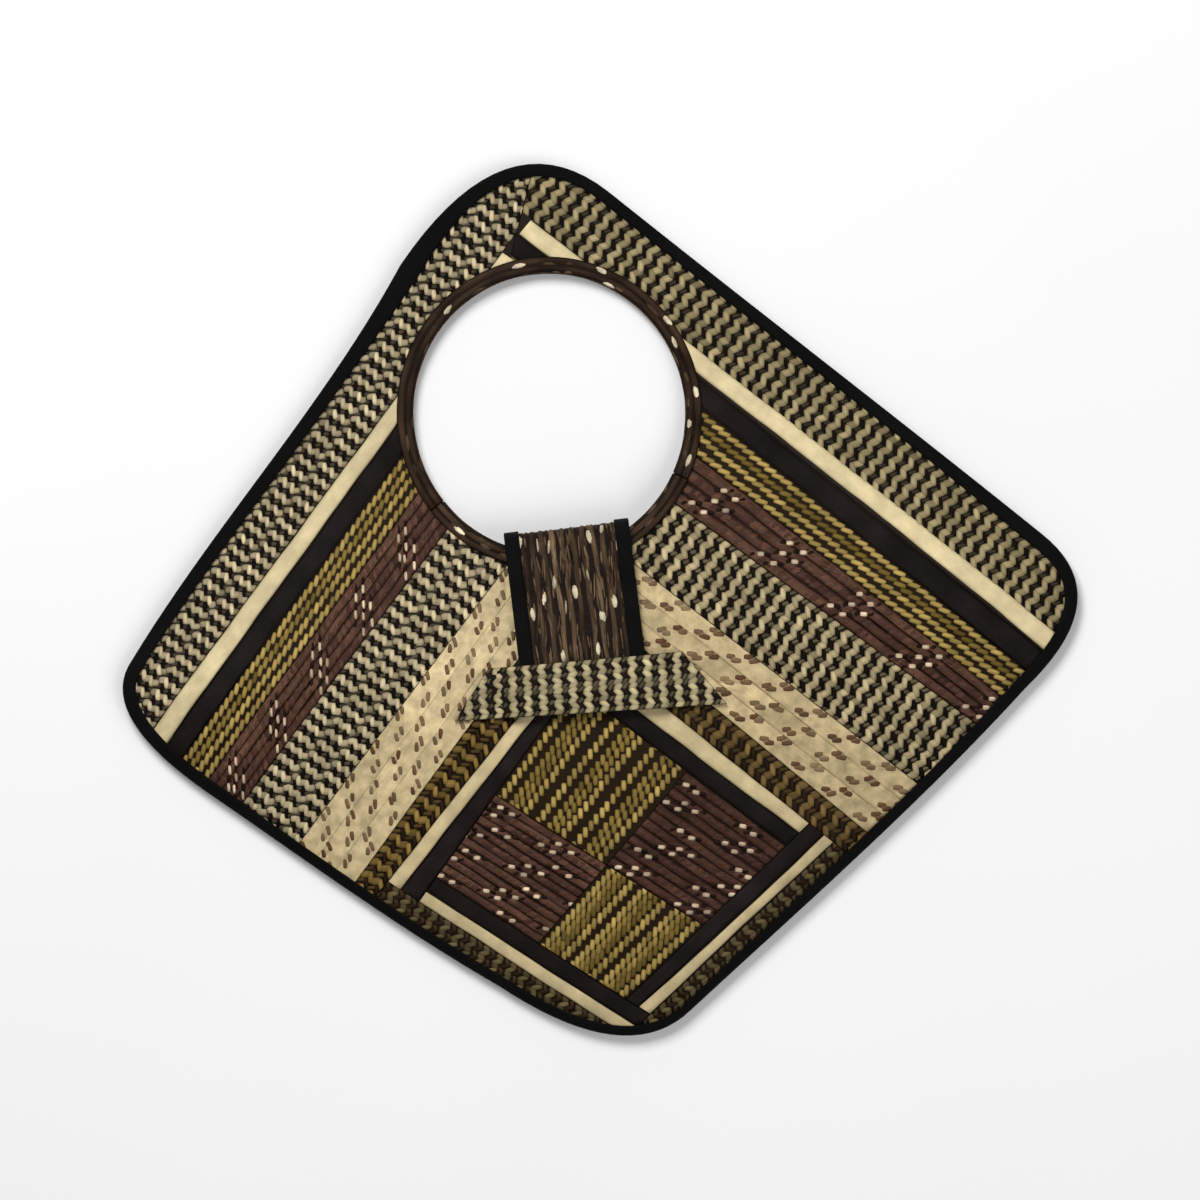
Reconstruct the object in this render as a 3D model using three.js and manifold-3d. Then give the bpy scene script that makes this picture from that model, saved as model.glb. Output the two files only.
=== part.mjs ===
// A woven handbag of sewn cane braids, lying on its back with its front up.
//
// The bag is a square on its corner with rounded corners. Two panels meet at a taped edge, a round hole in
// the upper part is the handle, and the pouch below it opens at the lower lip of that hole. A tab sewn inside
// the back comes up through the mouth, folds over the front lip and tucks under a keeper band.
//
// Millimetres. X runs to the right, Y towards the handle and Z up out of the front. The origin lies under the
// middle of the bag's box, on the surface that the bag rests on.
import * as THREE from 'three';
import { mergeVertices } from 'three/addons/utils/BufferGeometryUtils.js';
import Module from 'manifold-3d';

const wasm = await Module();
wasm.setup();

// Walls and gaps
const WALL = 2.0;           // thickness of a braid strip and of the back panel
const TAPE = 1.0;           // thickness of the tape round an edge
const GAP = 0.3;            // clearance between neighbours
const PANEL_GAP = 0.4;      // clearance between the two panels where they lie together
const WELD = 1e-4;          // points closer than this are one point

// Levels of the two panels where they lie together
const BACK_UNDER = TAPE + GAP;
const BACK_TOP = BACK_UNDER + WALL;
const FRONT_TOP = BACK_TOP + PANEL_GAP + WALL;

// The pouch swells from the edge to a middle height and fades out towards the handle
const SWELL = { x: -2, y: -40, height: 28, power: 2.5, fadeTop: 111, fadeLength: 180 };

// Corners before rounding, counter-clockwise from the top. The rounding starts cutIn before the corner and
// ends cutOut after it. bowNear and bowFar push the edge that follows outward, a third and two thirds along.
const CORNERS = [
  { name: 'top', x: -13.3, y: 225.8, cutIn: 60, cutOut: 85, bowNear: -7.2, bowFar: 3.7 },
  { name: 'left', x: -233.2, y: -25.5, cutIn: 31, cutOut: 69, bowNear: 1.0, bowFar: 3.2 },
  { name: 'bottom', x: -11.5, y: -215.1, cutIn: 70, cutOut: 40, bowNear: 1.4, bowFar: 4.7 },
  { name: 'right', x: 237.8, y: -27.9, cutIn: 60, cutOut: 46, bowNear: 0.8, bowFar: -0.5 },
];
// Width of the edge tape at a corner, where its rounding ends, and a third of the way along the edge that follows
const TAPE_WIDTHS = {
  top: { corner: 5.4, end: 9.4, next: 6.0 },
  left: { corner: 6.0, end: 5.6, next: 5.0 },
  bottom: { corner: 4.6, end: 4.0, next: 4.8 },
  right: { corner: 5.6, end: 6.8, next: 5.6 },
};
const CORNER_STEPS = 6;     // facets of a rounded corner
const EDGE_STEPS = 8;       // facets of an edge between two corners

// Hand hole and its braided rim
const HOLE = { x: -10.3, y: 86.5, radiusX: 61.9, radiusY: 63.7 };
const RIM_WIDTH = 7.5;
const MOUTH = { start: 212, end: 328 };   // degrees round the hole, counter-clockwise from +X
const RIM_STEP = 9;                       // degrees of a rim facet

// Front strips from the upper edge inward. The four widths are how far the strip's inner seam lies from the
// straight line between the corners: left and right, at the side corner (low) and at the top corner (high).
const STRIPS = [
  { name: 'zigzag_outer', leftLow: 25.2, leftHigh: 37.0, rightLow: 31.6, rightHigh: 31.6 },
  { name: 'cream_strip', leftLow: 34.4, leftHigh: 43.6, rightLow: 41.6, rightHigh: 40.3 },
  { name: 'dark_strip', leftLow: 44.0, leftHigh: 54.2, rightLow: 53.9, rightHigh: 49.5 },
  { name: 'gold_cords', leftLow: 59.2, leftHigh: 71.0, rightLow: 69.6, rightHigh: 70.0 },
  { name: 'maroon_braid', leftLow: 78.1, leftHigh: 93.5, rightLow: 85.9, rightHigh: 99.2 },
  { name: 'zigzag_inner', leftLow: 109.6, leftHigh: 125.4, rightLow: 124.1, rightHigh: 127.5 },
  { name: 'speckled_strip', leftLow: 140.8, leftHigh: 152.8, rightLow: 156.4, rightHigh: 150.3 },
  { name: 'tan_zigzag', leftLow: 151.9, leftHigh: 176.2, rightLow: 169.3, rightHigh: 165.7 },
  { name: 'cream_frame', leftLow: 158.9, leftHigh: 180.5, rightLow: 174.4, rightHigh: 180.0 },
  { name: 'dark_frame', leftLow: 169.5, leftHigh: 177.9, rightLow: 182.2, rightHigh: 191.0 },
];
// The strips that stop at the hole, and those that frame the square. The others run on to a mitre.
const STRIPS_TO_HOLE = ['cream_strip', 'dark_strip', 'gold_cords', 'maroon_braid', 'zigzag_inner'];
const FRAME_NAMES = ['cream_frame', 'dark_frame'];

// Seams along the lower edges: how far they lie from the straight line between the corners, at the side
// corner (side) and at the bottom corner (low).
const LOWER_SEAMS = {
  creamOuter: { leftSide: 10.8, leftLow: 13.2, rightSide: 7.9, rightLow: 11.9 },
  creamInner: { leftSide: 16.2, leftLow: 19.5, rightSide: 12.9, rightLow: 18.2 },
  darkInner: { leftSide: 23.4, leftLow: 27.7, rightSide: 24.5, rightLow: 24.5 },
};

// The framed square is split in four by two seams that cross in its middle
const PATCH = { x: -9.4, y: -119.9, fallingAngle: -39.4, risingAngle: 42.3 };

// Left and right meet at a mitre above the hole and on the middle line below it
const MITRE = { topX: -6, topY: 193, lowX: -15, lowY: 170 };
const MIDDLE_X = -10;

// Closing tab: its braid, the tapes along its two edges and the clearance between them
const TAB = { x: -9.0, width: 57, wall: 1.6, tape: 0.8, tapeWidth: 6.6, clear: 0.2, steps: 36 };

// The way of the tab's middle, from its root to its tip. The height is above where the tab would lie on the
// inside of the back or on the front, and at the lip it is above the middle of the front lip.
const TAB_WAY = [
  { y: -28, on: 'back', height: 0 },      // root, sewn to the inside of the back
  { y: 8, on: 'back', height: 0 },
  { y: 20, on: 'back', height: 1.3 },     // over the rim of the back lip
  { y: 30.7, on: 'lip', height: -6 },     // up through the mouth
  { y: 33, on: 'lip', height: 0 },        // fold over the front lip
  { y: 30.7, on: 'lip', height: 5.2 },
  { y: 22, on: 'front', height: 1.3 },    // over the rim of the front lip
  { y: 13, on: 'front', height: 1.3 },
  { y: 4, on: 'front', height: 0 },
  { y: -8, on: 'front', height: 0 },
  { y: -20, on: 'front', height: 0 },
  { y: -32, on: 'front', height: 0 },
  { y: -44, on: 'front', height: 0 },     // tip under the keeper
];

// Keeper band: its corners, and the slope at each side of the tab where it comes down to the panel
const KEEPER = {
  lowLeft: [-69.6, -47.0],
  lowRight: [53.4, -54.2],
  topRight: [36.4, -28.3],
  topLeft: [-51.5, -25.3],
  slope: 10,
  facet: 5,
};

// Largest facet of a strip, along and across it
const FACET_ALONG = 24;
const FACET_ACROSS = 14;

const COLOURS = {
  zigzag: 0x8a8068, cream: 0xe1cfa0, dark: 0x1e1816, gold: 0x96823c, maroon: 0x4b2d28, speckled: 0xdcc89b,
  tan: 0x78643c, tape: 0x101111, rim: 0x3c2d23,
};
// The first word of a strip's name says its finish
const colourOf = (name) => COLOURS[name.split('_')[0]];

const corner = Object.fromEntries(CORNERS.map((c) => [c.name, new THREE.Vector2(c.x, c.y)]));

// Outline: rounded corners and bowed edges, each point with the width of the binding there
function traceOutline() {
  const points = [];
  CORNERS.forEach((here, i) => {
    const next = CORNERS[(i + 1) % 4];
    const before = CORNERS[(i + 3) % 4];
    const at = corner[here.name];
    const width = TAPE_WIDTHS[here.name];
    const cameAlong = at.clone().sub(corner[before.name]).normalize();
    const goesAlong = corner[next.name].clone().sub(at).normalize();
    const outward = new THREE.Vector2(goesAlong.y, -goesAlong.x);
    const roundStart = at.clone().addScaledVector(cameAlong, -here.cutIn);
    const edgeStart = at.clone().addScaledVector(goesAlong, here.cutOut);
    const edgeEnd = corner[next.name].clone().addScaledVector(goesAlong, -next.cutIn);
    const near = edgeStart.clone().lerp(edgeEnd, 1 / 3).addScaledVector(outward, here.bowNear);
    const far = edgeStart.clone().lerp(edgeEnd, 2 / 3).addScaledVector(outward, here.bowFar);
    const round = new THREE.QuadraticBezierCurve(roundStart, at, edgeStart);
    const edge = new THREE.CubicBezierCurve(edgeStart, near, far, edgeEnd);
    for (let s = 0; s < CORNER_STEPS; s++) {
      const t = s / CORNER_STEPS;
      const tape = THREE.MathUtils.lerp(width.corner, width.end, t ** 3);
      points.push({ at: round.getPoint(t), along: round.getTangent(t), tape });
    }
    for (let s = 0; s < EDGE_STEPS; s++) {
      const t = s / EDGE_STEPS;
      const tape = t < 1 / 3 ? THREE.MathUtils.lerp(width.next, width.end, (1 - t * 3) ** 2)
        : THREE.MathUtils.lerp(width.next, TAPE_WIDTHS[next.name].corner, (t * 3 - 1) / 2);
      points.push({ at: edge.getPoint(t), along: edge.getTangent(t), tape });
    }
  });
  return points;
}

const OUTLINE = traceOutline();

// A point of the outline moved inward by a distance
function insetPoint({ at, along }, distance) {
  return new THREE.Vector2(at.x - along.y * distance, at.y + along.x * distance);
}

// How far out a point lies between the middle of the swelling (0) and the outline (1)
const RAYS = OUTLINE.map(({ at }) => {
  const ray = at.clone().sub(new THREE.Vector2(SWELL.x, SWELL.y));
  return { angle: ray.angle(), length: ray.length() };
}).sort((a, b) => a.angle - b.angle);

function gauge(x, y) {
  const ray = new THREE.Vector2(x - SWELL.x, y - SWELL.y);
  const angle = ray.angle();
  const found = RAYS.findIndex((r) => r.angle > angle);
  const after = RAYS[found < 0 ? 0 : found];
  const before = RAYS[(found < 0 ? 0 : found) - 1] ?? RAYS[RAYS.length - 1];
  const span = THREE.MathUtils.euclideanModulo(after.angle - before.angle, 2 * Math.PI);
  const part = THREE.MathUtils.euclideanModulo(angle - before.angle, 2 * Math.PI) / span;
  return ray.length() / THREE.MathUtils.lerp(before.length, after.length, part);
}

// Top of the front panel
function frontZ(x, y) {
  const dome = 1 - gauge(x, y) ** SWELL.power;
  const fade = THREE.MathUtils.smoothstep(SWELL.fadeTop - y, 0, SWELL.fadeLength);
  return FRONT_TOP + SWELL.height * dome * fade;
}

// Solids from geometry and back, for cutting
function toSolid(geometry) {
  const bare = geometry.clone();
  bare.deleteAttribute('normal');
  bare.deleteAttribute('uv');
  const merged = mergeVertices(bare, WELD);
  return new wasm.Manifold(new wasm.Mesh({
    numProp: 3,
    vertProperties: new Float32Array(merged.attributes.position.array),
    triVerts: new Uint32Array(merged.index.array),
  }));
}

function toGeometry(solid) {
  const { vertProperties, triVerts } = solid.getMesh();
  const geometry = new THREE.BufferGeometry();
  geometry.setAttribute('position', new THREE.BufferAttribute(new Float32Array(vertProperties), 3));
  geometry.setIndex(new THREE.BufferAttribute(new Uint32Array(triVerts), 1));
  geometry.computeVertexNormals();
  return geometry;
}

// Moves every point of a geometry by a function of its place
function reshape(geometry, place) {
  const position = geometry.attributes.position;
  const point = new THREE.Vector3();
  for (let i = 0; i < position.count; i++) {
    point.fromBufferAttribute(position, i);
    position.setXYZ(i, ...place(point.x, point.y, point.z).toArray());
  }
  geometry.computeVertexNormals();
  return geometry;
}

const group = new THREE.Group();
function addPiece(name, geometry, colour, roughness = 0.6) {
  const material = new THREE.MeshStandardMaterial({ color: colour, roughness, metalness: 0 });
  const piece = new THREE.Mesh(geometry, material);
  piece.name = name;
  group.add(piece);
}

// Seams are straight lines in plan, held as two points
const insetSeam = (a, b, atA, atB) => {
  const along = b.clone().sub(a).normalize();
  const left = new THREE.Vector2(-along.y, along.x);
  return [a.clone().addScaledVector(left, atA), b.clone().addScaledVector(left, atB)];
};
const seamAt = (x, y, degrees) => {
  const angle = THREE.MathUtils.degToRad(degrees);
  return [new THREE.Vector2(x, y), new THREE.Vector2(x + Math.cos(angle), y + Math.sin(angle))];
};
function crossing([a, b], [c, d]) {
  const along = b.clone().sub(a);
  const other = d.clone().sub(c);
  const t = c.clone().sub(a).cross(other) / along.cross(other);
  return a.clone().addScaledVector(along, t);
}

// The four corners between two long seams and two end seams, half a gap inside each of them
function cornersBetween(side, end, otherSide, otherEnd) {
  const seams = [side, end, otherSide, otherEnd];
  const meet = (lines) => lines.map((line, i) => crossing(lines[(i + 3) % 4], line));
  const middle = meet(seams).reduce((sum, p) => sum.add(p), new THREE.Vector2()).divideScalar(4);
  const pulled = seams.map(([a, b]) => {
    const left = b.clone().sub(a).normalize().rotateAround(new THREE.Vector2(), Math.PI / 2);
    const move = Math.sign(left.dot(middle.clone().sub(a))) * GAP / 2;
    return [a.clone().addScaledVector(left, move), b.clone().addScaledVector(left, move)];
  });
  const corners = meet(pulled);
  const turn = corners[1].clone().sub(corners[0]).cross(corners[3].clone().sub(corners[0]));
  return turn > 0 ? corners : [corners[1], corners[0], corners[3], corners[2]];
}

// A sheet over four plan corners, from an underside level to a top level
function sheet([a, b, c, d], topZ, underZ, facetAlong = FACET_ALONG) {
  const alongSteps = Math.max(1, Math.ceil(Math.max(a.distanceTo(b), d.distanceTo(c)) / facetAlong));
  const acrossSteps = Math.max(1, Math.ceil(Math.max(a.distanceTo(d), b.distanceTo(c)) / FACET_ACROSS));
  return reshape(new THREE.BoxGeometry(1, 1, 1, alongSteps, acrossSteps, 1), (x, y, z) => {
    const plan = a.clone().lerp(b, x + 0.5).lerp(d.clone().lerp(c, x + 0.5), y + 0.5);
    return new THREE.Vector3(plan.x, plan.y, z > 0 ? topZ(plan.x, plan.y) : underZ(plan.x, plan.y));
  });
}

// Upright cutters: the panels' outline inside the tape, and the hole outside the rim's inner wall
const CUTTER_HEIGHT = 100;
function upright(points) {
  const shape = new THREE.Shape(points);
  const geometry = new THREE.ExtrudeGeometry(shape, { depth: CUTTER_HEIGHT, bevelEnabled: false });
  return geometry.translate(0, 0, -CUTTER_HEIGHT / 2);
}
function holePoint(degrees, outward) {
  const angle = THREE.MathUtils.degToRad(degrees);
  return new THREE.Vector2(HOLE.x + (HOLE.radiusX + outward) * Math.cos(angle),
    HOLE.y + (HOLE.radiusY + outward) * Math.sin(angle));
}
const HOLE_FACETS = 60;
const holeAngles = Array.from({ length: HOLE_FACETS }, (_, i) => i * 360 / HOLE_FACETS);
const holeOutline = (outward) => holeAngles.map((degrees) => holePoint(degrees, outward));
const panelOutline = OUTLINE.map((p) => insetPoint(p, TAPE + GAP));
const panelCutter = toSolid(upright(panelOutline));
const holeCutter = toSolid(upright(holeOutline(TAPE + GAP)));

function addStrip(name, seams) {
  const whole = toSolid(sheet(cornersBetween(...seams), frontZ, (x, y) => frontZ(x, y) - WALL));
  addPiece(name, toGeometry(whole.intersect(panelCutter).subtract(holeCutter)), colourOf(name));
}

// Front panel: strips of the left and the right side
const middleLine = seamAt(MIDDLE_X, 0, 90);
const mitreLine = [new THREE.Vector2(MITRE.topX, MITRE.topY), new THREE.Vector2(MITRE.lowX, MITRE.lowY)];
const EDGE_OVERRUN = 12;    // how far a strip is laid past the outline before it is cut there

function sideSeams(side) {
  const sign = side === 'left' ? -1 : 1;
  const { top, bottom } = corner;
  const outer = corner[side];
  const seams = { edge: insetSeam(outer, top, -sign * EDGE_OVERRUN, -sign * EDGE_OVERRUN) };
  for (const strip of STRIPS) {
    seams[strip.name] = insetSeam(outer, top, sign * strip[`${side}Low`], sign * strip[`${side}High`]);
  }
  seams.lowerEdge = insetSeam(outer, bottom, sign * EDGE_OVERRUN, sign * EDGE_OVERRUN);
  for (const [name, seam] of Object.entries(LOWER_SEAMS)) {
    seams[name] = insetSeam(outer, bottom, -sign * seam[`${side}Side`], -sign * seam[`${side}Low`]);
  }
  const [low, high] = seams.zigzag_outer;
  const across = high.clone().sub(low).angle() * THREE.MathUtils.RAD2DEG + 90;
  seams.acrossHole = seamAt(HOLE.x, HOLE.y, across);
  return seams;
}

const seams = { left: sideSeams('left'), right: sideSeams('right') };
for (const side of ['left', 'right']) {
  const own = seams[side];
  let outerSeam = own.edge;
  for (const strip of STRIPS.filter(({ name }) => !FRAME_NAMES.includes(name))) {
    let end = strip.name === 'zigzag_outer' ? mitreLine : middleLine;
    if (STRIPS_TO_HOLE.includes(strip.name)) end = own.acrossHole;
    addStrip(`${strip.name}_${side}`, [outerSeam, own.lowerEdge, own[strip.name], end]);
    outerSeam = own[strip.name];
  }
}

// Strip ends above the hole
const { left, right } = seams;
addStrip('cream_top_left', [left.zigzag_outer, mitreLine, left.cream_strip, left.acrossHole]);
addStrip('cream_top_right', [right.zigzag_outer, mitreLine, right.cream_strip, right.acrossHole]);
addStrip('dark_top_right', [right.cream_strip, mitreLine, right.dark_strip, right.acrossHole]);

// Framed square: each dark strip runs out past the end of the next cream strip, like a pinwheel
addStrip('cream_frame_upper_left', [left.tan_zigzag, left.creamOuter, left.cream_frame, middleLine]);
addStrip('cream_frame_upper_right', [right.tan_zigzag, right.darkInner, right.cream_frame, middleLine]);
addStrip('cream_frame_lower_left', [left.creamOuter, left.dark_frame, left.creamInner, right.creamOuter]);
addStrip('cream_frame_lower_right', [right.creamOuter, right.tan_zigzag, right.creamInner, left.darkInner]);
addStrip('dark_frame_upper_left', [left.cream_frame, left.creamOuter, left.dark_frame, middleLine]);
addStrip('dark_frame_upper_right', [right.cream_frame, right.darkInner, right.dark_frame, middleLine]);
addStrip('dark_frame_lower_left', [left.creamInner, left.dark_frame, left.darkInner, right.creamOuter]);
addStrip('dark_frame_lower_right', [right.creamInner, right.tan_zigzag, right.darkInner, left.darkInner]);
addStrip('tan_lower_left', [left.lowerEdge, left.tan_zigzag, left.creamOuter, middleLine]);
addStrip('tan_lower_right', [right.lowerEdge, right.tan_zigzag, right.creamOuter, middleLine]);

// Four patches of the square
const falling = seamAt(PATCH.x, PATCH.y, PATCH.fallingAngle);
const rising = seamAt(PATCH.x, PATCH.y, PATCH.risingAngle);
addStrip('gold_patch_top', [left.dark_frame, falling, rising, right.dark_frame]);
addStrip('maroon_patch_left', [left.dark_frame, left.darkInner, rising, falling]);
addStrip('maroon_patch_right', [right.dark_frame, right.darkInner, falling, rising]);
addStrip('gold_patch_bottom', [left.darkInner, right.darkInner, falling, rising]);

// Back panel: one flat plate with the hole
const backShape = new THREE.Shape(panelOutline);
backShape.holes.push(new THREE.Path(holeOutline(TAPE + GAP)));
const backPlate = new THREE.ExtrudeGeometry(backShape, { depth: WALL, bevelEnabled: false });
addPiece('back_panel', backPlate.translate(0, 0, BACK_UNDER), COLOURS.zigzag);

// A section swept along a run of stations. place() puts a point of the section at a station.
function sweep(section, stations, place) {
  const shape = new THREE.Shape(section.map(([across, out]) => new THREE.Vector2(across, out)));
  const steps = stations.length - 1;
  const bar = new THREE.ExtrudeGeometry(shape, { depth: steps, steps, bevelEnabled: false });
  return reshape(bar, (across, out, along) => place(across, out, stations[Math.round(along)]));
}

// A channel that wraps an edge from a low level to a high one, its legs reaching inward over both faces
const channel = (legs, low, high, wall = TAPE) => [
  [0, low], [legs, low], [legs, low + wall], [wall, low + wall],
  [wall, high - wall], [legs, high - wall], [legs, high], [0, high],
];
const BACK_LOW = BACK_UNDER - GAP - TAPE;
const BACK_HIGH = BACK_TOP + GAP + TAPE;
const FRONT_LOW = FRONT_TOP - WALL - GAP - TAPE;
const FRONT_HIGH = FRONT_TOP + GAP + TAPE;
const BETWEEN = (BACK_TOP + FRONT_TOP) / 2;
const liftAt = (plan) => frontZ(plan.x, plan.y) - FRONT_TOP;

// Edge binding: one tape round the whole outline, whose ends meet at the bottom corner
const startAt = 2 * (CORNER_STEPS + EDGE_STEPS) + CORNER_STEPS / 2;
const round = OUTLINE.map((_, i) => OUTLINE[(startAt + i) % OUTLINE.length]);
const tapeStart = { ...round[0], at: round[0].at.clone().addScaledVector(round[0].along, GAP / 2) };
const tapeEnd = { ...round[0], at: round[0].at.clone().addScaledVector(round[0].along, -GAP / 2) };
const LEG = 6;              // leg of the drawn section, stretched to the tape's width at each station
const binding = sweep(channel(LEG, BACK_LOW, FRONT_HIGH), [tapeStart, ...round.slice(1), tapeEnd],
  (inward, level, station) => {
    const reach = inward <= TAPE ? inward : TAPE + (inward - TAPE) * (station.tape - TAPE) / (LEG - TAPE);
    const plan = insetPoint(station, reach);
    return new THREE.Vector3(plan.x, plan.y, level > BETWEEN ? level + liftAt(plan) : level);
  });
addPiece('edge_binding', binding, COLOURS.tape, 0.5);

// Rim of the hole: round both panels above, and round each lip of the mouth below
function addRim(name, startDegrees, endDegrees, low, high, liftedFrom) {
  const endGap = THREE.MathUtils.radToDeg(GAP / 2 / HOLE.radiusX);
  const steps = Math.ceil((endDegrees - startDegrees) / RIM_STEP);
  const angles = Array.from({ length: steps + 1 },
    (_, i) => THREE.MathUtils.lerp(endDegrees - endGap, startDegrees + endGap, i / steps));
  const rim = sweep(channel(RIM_WIDTH, low, high), angles, (reach, level, degrees) => {
    const plan = holePoint(degrees, reach);
    return new THREE.Vector3(plan.x, plan.y, level > liftedFrom ? level + liftAt(plan) : level);
  });
  addPiece(name, rim, COLOURS.rim);
}
addRim('rim_upper', MOUTH.end - 360, MOUTH.start, BACK_LOW, FRONT_HIGH, BETWEEN);
addRim('rim_front', MOUTH.start, MOUTH.end, FRONT_LOW, FRONT_HIGH, 0);
addRim('rim_back', MOUTH.start, MOUTH.end, BACK_LOW, BACK_HIGH, Infinity);

// Closing tab: a braid between two tapes, swept along its way
const TAB_HALF = TAB.wall / 2 + TAB.clear + TAB.tape;
const lipY = HOLE.y - HOLE.radiusY;
const tabLevel = {
  back: () => BACK_TOP + GAP + TAB_HALF,
  lip: () => frontZ(TAB.x, lipY) - WALL - TAPE,
  front: (y) => frontZ(TAB.x, y) + GAP + TAB.clear + TAB_HALF,
};
const tabPoints = TAB_WAY.map(({ y, on, height }) => new THREE.Vector3(0, y, tabLevel[on](y) + height));
const tabCurve = new THREE.CatmullRomCurve3(tabPoints);
const tabStations = Array.from({ length: TAB.steps + 1 }, (_, i) => ({
  at: tabCurve.getPoint(i / TAB.steps), along: tabCurve.getTangent(i / TAB.steps),
}));
const onTab = (across, out, { at, along }) =>
  new THREE.Vector3(TAB.x + across, at.y + along.z * out, at.z - along.y * out);
const braidEdge = TAB.width / 2 - TAB.tape - TAB.clear;
const braidFace = TAB.wall / 2;
addPiece('tab_braid', sweep([[-braidEdge, -braidFace], [braidEdge, -braidFace], [braidEdge, braidFace],
  [-braidEdge, braidFace]], tabStations, onTab), COLOURS.rim);
const tabChannel = channel(TAB.tapeWidth, -TAB_HALF, TAB_HALF, TAB.tape);
for (const [side, sign] of [['left', 1], ['right', -1]]) {
  const section = tabChannel.map(([inward, out]) => [sign * (inward - TAB.width / 2), out]);
  addPiece(`tab_binding_${side}`, sweep(section, tabStations, onTab), COLOURS.tape, 0.5);
}

// Keeper band: lies on the panel at its ends and arches over the tab
const overTab = 2 * (TAB_HALF + GAP + TAB.clear);
const keeperUnder = (x, y) => {
  const past = Math.abs(x - TAB.x) - TAB.width / 2 - KEEPER.facet / 2;
  return frontZ(x, y) + GAP + (overTab - GAP) * (1 - THREE.MathUtils.smoothstep(past, 0, KEEPER.slope));
};
const keeperCorners = [KEEPER.lowLeft, KEEPER.lowRight, KEEPER.topRight, KEEPER.topLeft];
addPiece('keeper_band', sheet(keeperCorners.map(([x, y]) => new THREE.Vector2(x, y)),
  (x, y) => keeperUnder(x, y) + WALL, keeperUnder, KEEPER.facet), COLOURS.zigzag);

export default group;
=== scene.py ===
"""Looks of a woven handbag of sewn cane braids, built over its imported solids.

A braid is made of its splints. Each place where a splint comes to the surface is a float: a small closed
pillow that sits in a darker ground, which is the strip's own solid with its face a little lowered. Lengths
are millimetres until a mesh is made. On a strip, s runs along it, and v across it from one seam (0) to the
other (1).
"""
import math

import bmesh
import bpy
import numpy as np
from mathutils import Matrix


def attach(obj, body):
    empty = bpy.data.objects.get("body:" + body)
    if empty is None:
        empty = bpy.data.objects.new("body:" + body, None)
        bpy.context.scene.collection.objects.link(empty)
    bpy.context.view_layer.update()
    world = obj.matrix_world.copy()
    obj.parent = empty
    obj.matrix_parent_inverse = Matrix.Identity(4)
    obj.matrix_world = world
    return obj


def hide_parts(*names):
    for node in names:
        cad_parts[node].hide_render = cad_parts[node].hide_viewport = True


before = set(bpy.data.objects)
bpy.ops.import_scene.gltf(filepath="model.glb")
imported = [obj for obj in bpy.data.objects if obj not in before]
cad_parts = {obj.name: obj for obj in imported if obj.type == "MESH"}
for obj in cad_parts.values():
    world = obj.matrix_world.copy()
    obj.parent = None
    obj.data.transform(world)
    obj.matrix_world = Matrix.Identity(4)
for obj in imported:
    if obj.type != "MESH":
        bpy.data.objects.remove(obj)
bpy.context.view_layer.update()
random = np.random.default_rng(41)
MM = 0.001

# Walls, gaps and levels of the solids
WALL = 2.0
TAPE = 1.0
GAP = 0.3
BACK_TOP = 3.3
BACK_UNDER = 1.3
FRONT_TOP = 5.7
RIM_LOW = 0.0
RIM_HIGH = 7.0
LIP_LOW = 2.4
LIP_HIGH = 4.6

# The pouch swells from the edge to a middle height and fades out towards the handle
SWELL = dict(x=-2.0, y=-40.0, height=28.0, power=2.5, fade_top=111.0, fade_length=180.0)

# Corners before rounding, with where the rounding starts and ends and the bow of the edge that follows
CORNERS = dict(
    top=dict(x=-13.3, y=225.8, cut_in=60.0, cut_out=85.0, bow_near=-7.2, bow_far=3.7),
    left=dict(x=-233.2, y=-25.5, cut_in=31.0, cut_out=69.0, bow_near=1.0, bow_far=3.2),
    bottom=dict(x=-11.5, y=-215.1, cut_in=70.0, cut_out=40.0, bow_near=1.4, bow_far=4.7),
    right=dict(x=237.8, y=-27.9, cut_in=60.0, cut_out=46.0, bow_near=0.8, bow_far=-0.5),
)
# Width of the edge tape at a corner, where its rounding ends, and a third of the way along the next edge
TAPE_WIDTHS = dict(
    top=dict(corner=5.4, end=9.4, next=6.0),
    left=dict(corner=6.0, end=5.6, next=5.0),
    bottom=dict(corner=4.6, end=4.0, next=4.8),
    right=dict(corner=5.6, end=6.8, next=5.6),
)
CORNER_STEPS = 18
EDGE_STEPS = 22

HOLE = dict(x=-10.3, y=86.5, radius_x=61.9, radius_y=63.7)
RIM_WIDTH = 7.5
MOUTH = (212.0, 328.0)

# Inner seam of each strip: how far it lies from the line between the corners, at the side and the top corner
STRIPS = dict(
    zigzag_outer=dict(left=(25.2, 37.0), right=(31.6, 31.6)),
    cream_strip=dict(left=(34.4, 43.6), right=(41.6, 40.3)),
    dark_strip=dict(left=(44.0, 54.2), right=(53.9, 49.5)),
    gold_cords=dict(left=(59.2, 71.0), right=(69.6, 70.0)),
    maroon_braid=dict(left=(78.1, 93.5), right=(85.9, 99.2)),
    zigzag_inner=dict(left=(109.6, 125.4), right=(124.1, 127.5)),
    speckled_strip=dict(left=(140.8, 152.8), right=(156.4, 150.3)),
    tan_zigzag=dict(left=(151.9, 176.2), right=(169.3, 165.7)),
    cream_frame=dict(left=(158.9, 180.5), right=(174.4, 180.0)),
    dark_frame=dict(left=(169.5, 177.9), right=(182.2, 191.0)),
)
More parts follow.
